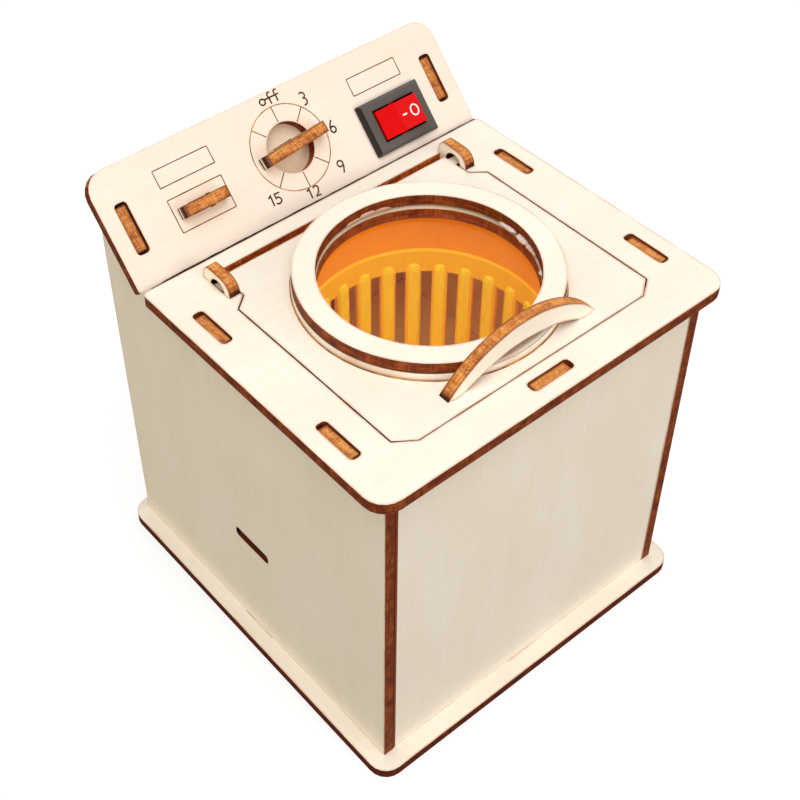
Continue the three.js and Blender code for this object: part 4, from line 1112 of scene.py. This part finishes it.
slot_line, slot_half = 50.77, 1.5
slot_ends = ((8.5, 9.35), (21.65, 22.5))
slot_depths = (1.3, 2.6)
pull_gap = (-33.9, -27.25, 11.45, 14.95)
pull_depths = (0.5, 1.2)
for side in (-1, 1):
    for foot, head in slot_ends:
        left, right = side * slot_line - slot_half, side * slot_line + slot_half
        plug(shade_and_char, left, right, foot, head, *slot_depths)
plug(shade_and_char, *pull_gap, *pull_depths)
# The seam's strip and the slots' blocks, all painted shade and char.
seam_char = finished(shade_and_char, "seam_char", deep_burn, False)

disc_gap_half = (3.1, 1.7)
disc_cover = 0.5
knob_turn = math.radians(4.9)
disc_depths = [
    (panel_foot - vertex.co).dot(panel_out) / millimetre
    for vertex in nodes["knob_disc"].data.vertices
]
disc_shade_and_char = bmesh.new()
plug(
    disc_shade_and_char, -disc_gap_half[0], disc_gap_half[0],
    dial_middle[1] - disc_gap_half[1], dial_middle[1] + disc_gap_half[1],
    min(disc_depths) + disc_cover, max(disc_depths) - disc_cover,
)
pivot = on_panel(*dial_middle)
turned = (
    Matrix.Translation(pivot) @ Matrix.Rotation(knob_turn, 4, panel_out)
    @ Matrix.Translation(-pivot)
)
bmesh.ops.transform(disc_shade_and_char, matrix=turned, verts=disc_shade_and_char.verts)
knob_char = finished(disc_shade_and_char, "knob_char", deep_burn, False)
for piece, body in ((seam_char, "cabinet"), (knob_char, "knob")):
    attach(piece, body)
print("disc between depths, in mm:", round(min(disc_depths), 2), round(max(disc_depths), 2))

# %% [markdown]
# ## Marks on the rocker
# The rocker carries a dash and a ring in white, the usual signs for on and off. They sit on
# its raised half, so they are dropped onto the rocker's own surface and ride with it.

# %% Draw the rocker's marks
white_ink, tree, shader = new_material("white_ink")
place = own_place(tree)
wear = stretched_noise(tree, place, (2, 2, 2), 3)
inked = ramp(tree, wear, [(0.3, (0.85, 0.8, 0.8, 1)), (0.5, (0.95, 0.94, 0.93, 1))])
paint(shader, inked, grade(tree, wear, low=0.35, high=0.55))
rocker_slope = math.radians(16)
crease_x = 33.13
marks_line = 10.05
dash_from, dash_to, dash_width = 0.98, 2.22, 0.52
ring_from_crease, ring_radii, ring_width = 4.65, (1.02, 1.52), 0.43


def along_rocker(distance):
    """A place on the rocker's raised half, this far right of its crease."""
    return (crease_x + distance * math.cos(rocker_slope), marks_line)


ring_points = arc(along_rocker(ring_from_crease), ring_radii, 0, 360, 32)[:-1]
marks = [
    ([along_rocker(dash_from), along_rocker(dash_to)], dash_width, False),
    (ring_points, ring_width, True),
]
rocker_marks = draw_strokes("rocker_marks", nodes["switch_rocker"], marks, white_ink, 0.02)
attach(rocker_marks, "rocker")

# %% [markdown]
# ## A bead of glue
# The window was stuck under the wooden ring by hand. A smooth tube would look machined, so
# each bead is a row of small arched sections round the window's axis. Their width and
# height follow two noises, a slow one and a quicker one, and fade towards a bead's ends.

# %% Write the bead
window_low, window_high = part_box("lid_window")
window_middle = (window_low + window_high) / 2
window_radius = (window_high.x - window_low.x) / 2
bead_shape = ((0, 0), (1, 0), (0.95, 0.45), (0.7, 0.85), (0.3, 1), (0, 1))
noise_circle, height_wave = 1.1, 40
slow_wave, quick_wave, quick_share = 9, 31, 0.6
least_swell = 0.25
end_size, end_growth = 0.15, 5


def round_window(angle, radius, height):
    """A place round the window's axis, from an angle in degrees and metres."""
    turn = math.radians(angle)
    return Vector((
        window_middle.x + radius * math.cos(turn), window_middle.y + radius * math.sin(turn), height
    ))


def bead(mesh, angles, inner, outer, foot, top, unevenness, closed=False):
    """An arched section swept round the window's axis, as uneven as is asked."""
    rows = []
    for angle in angles:
        wave = noise.noise(round_window(angle, noise_circle, foot * height_wave) * slow_wave)
        ripple = noise.noise(round_window(angle, noise_circle, 0) * quick_wave)
        swell = max(least_swell, 1 + unevenness * (wave + quick_share * ripple))
        taper = 1.0
        if not closed:
            from_end = min(angle - angles[0], angles[-1] - angle) / (angles[-1] - angles[0])
            taper = min(1.0, end_size + end_growth * from_end)
        reach, rise = (outer - inner) * swell * taper, (top - foot) * swell * taper
        rows.append([
            mesh.verts.new(round_window(angle, inner + reach * out, foot + rise * up))
            for out, up in bead_shape
        ])
    skin_rows(mesh, rows, closed)


def angles_between(first, last, step=1.5):
    """Even angles from first to last, about a step apart."""
    count = round((last - first) / step)
    return [first + (last - first) * index / count for index in range(count + 1)]


print("window radius in mm:", round(window_radius / millimetre, 2))

# %% [markdown]
# ## Glue on the window's edge
# Dried glue covers the disc's cut edge all round, so it shows as a pale band between the
# lid and the ring. A thin film of it also lies on the disc in front, under the handle.

# %% Glue the window's edge
sheet_top = window_high.z
edge_glue = moulded_plastic(
    "edge_glue", (0.72, 0.52, 0.36, 1), (0.9, 0.82, 0.7, 1), 0.4, 1.5, 0.05, 0.3)
edge_foot, edge_top = window_low.z + 0.03 * millimetre, sheet_top - 0.05 * millimetre
edge_inner, edge_outer = window_radius - 0.02 * millimetre, window_radius + 0.16 * millimetre
film_inner, film_outer = window_radius - 0.1 * millimetre, 30.4 * millimetre
film_top = sheet_top + 0.12 * millimetre
whole_turn = angles_between(0, 358, 2)
beads = bmesh.new()
bead(beads, whole_turn, edge_inner, edge_outer, edge_foot, edge_top, 0.0, True)
bead(beads, angles_between(-119, -61), film_inner, film_outer, sheet_top, film_top, 0.1)
window_edge = finished(beads, "window_edge", edge_glue)

# %% [markdown]
# ## Glue inside the ring
# Some glue was squeezed out inside the wooden ring: lumps on the right and a smear at the
# back. Each run has its own two angles, its reach from the ring's wall and its height.

# %% Lay the lumps and the smear
ring_wall = 28.2 * millimetre
wall_overlap = 0.02 * millimetre
lump_unevenness = 0.55
lump_glue = moulded_plastic(
    "dried_glue", (0.62, 0.36, 0.24, 1), (0.93, 0.88, 0.82, 1), 0.35, 1.5, 0.05, 0.4)
smeared_glue = moulded_plastic(
    "smeared_glue", (0.55, 0.25, 0.14, 1), (0.85, 0.62, 0.5, 1), 0.35, 1.5, 0.05, 0.4)
lump_runs = ((-25, -15, -1.15, 0.7), (-16, -6, -1.25, 0.8), (-5, 8, -0.8, 0.5),
             (-41, -37, -0.8, 0.7), (-60, -50, -0.4, 0.4))
smear_runs = ((68, 78, -0.2, 0.7), (77, 88, -0.15, 0.9), (87, 97, -0.2, 0.7))
glue_pieces = []
for piece_name, material, runs in (
    ("window_glue", lump_glue, lump_runs), ("glue_smear", smeared_glue, smear_runs),
):
    lumps = bmesh.new()
    for first, last, reach, tall in runs:
        bead(
            lumps, angles_between(first, last), ring_wall + wall_overlap,
            ring_wall + reach * millimetre, sheet_top, sheet_top + tall * millimetre,
            lump_unevenness,
        )
    glue_pieces.append(finished(lumps, piece_name, material))

# %% [markdown]
# ## The circle scored on the lid
# It shows where the disc was to sit, as a thin brown line at the foot of the disc's edge.

# %% Score the circle and let the window's pieces ride
lid_top = window_low.z
circle_inner, circle_outer = window_radius + 0.1 * millimetre, window_radius + 0.5 * millimetre
circle_foot, circle_top = lid_top - 0.02 * millimetre, lid_top + 0.04 * millimetre
circle = bmesh.new()
bead(circle, whole_turn, circle_inner, circle_outer, circle_foot, circle_top, 0.0, True)
scored_circle = finished(circle, "scored_circle", faint_burn)
for piece, slot in ((window_edge, "white_plastic"), (glue_pieces[0], "white_plastic"),
                    (glue_pieces[1], "white_plastic"), (scored_circle, "plywood")):
    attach(piece, "lid")
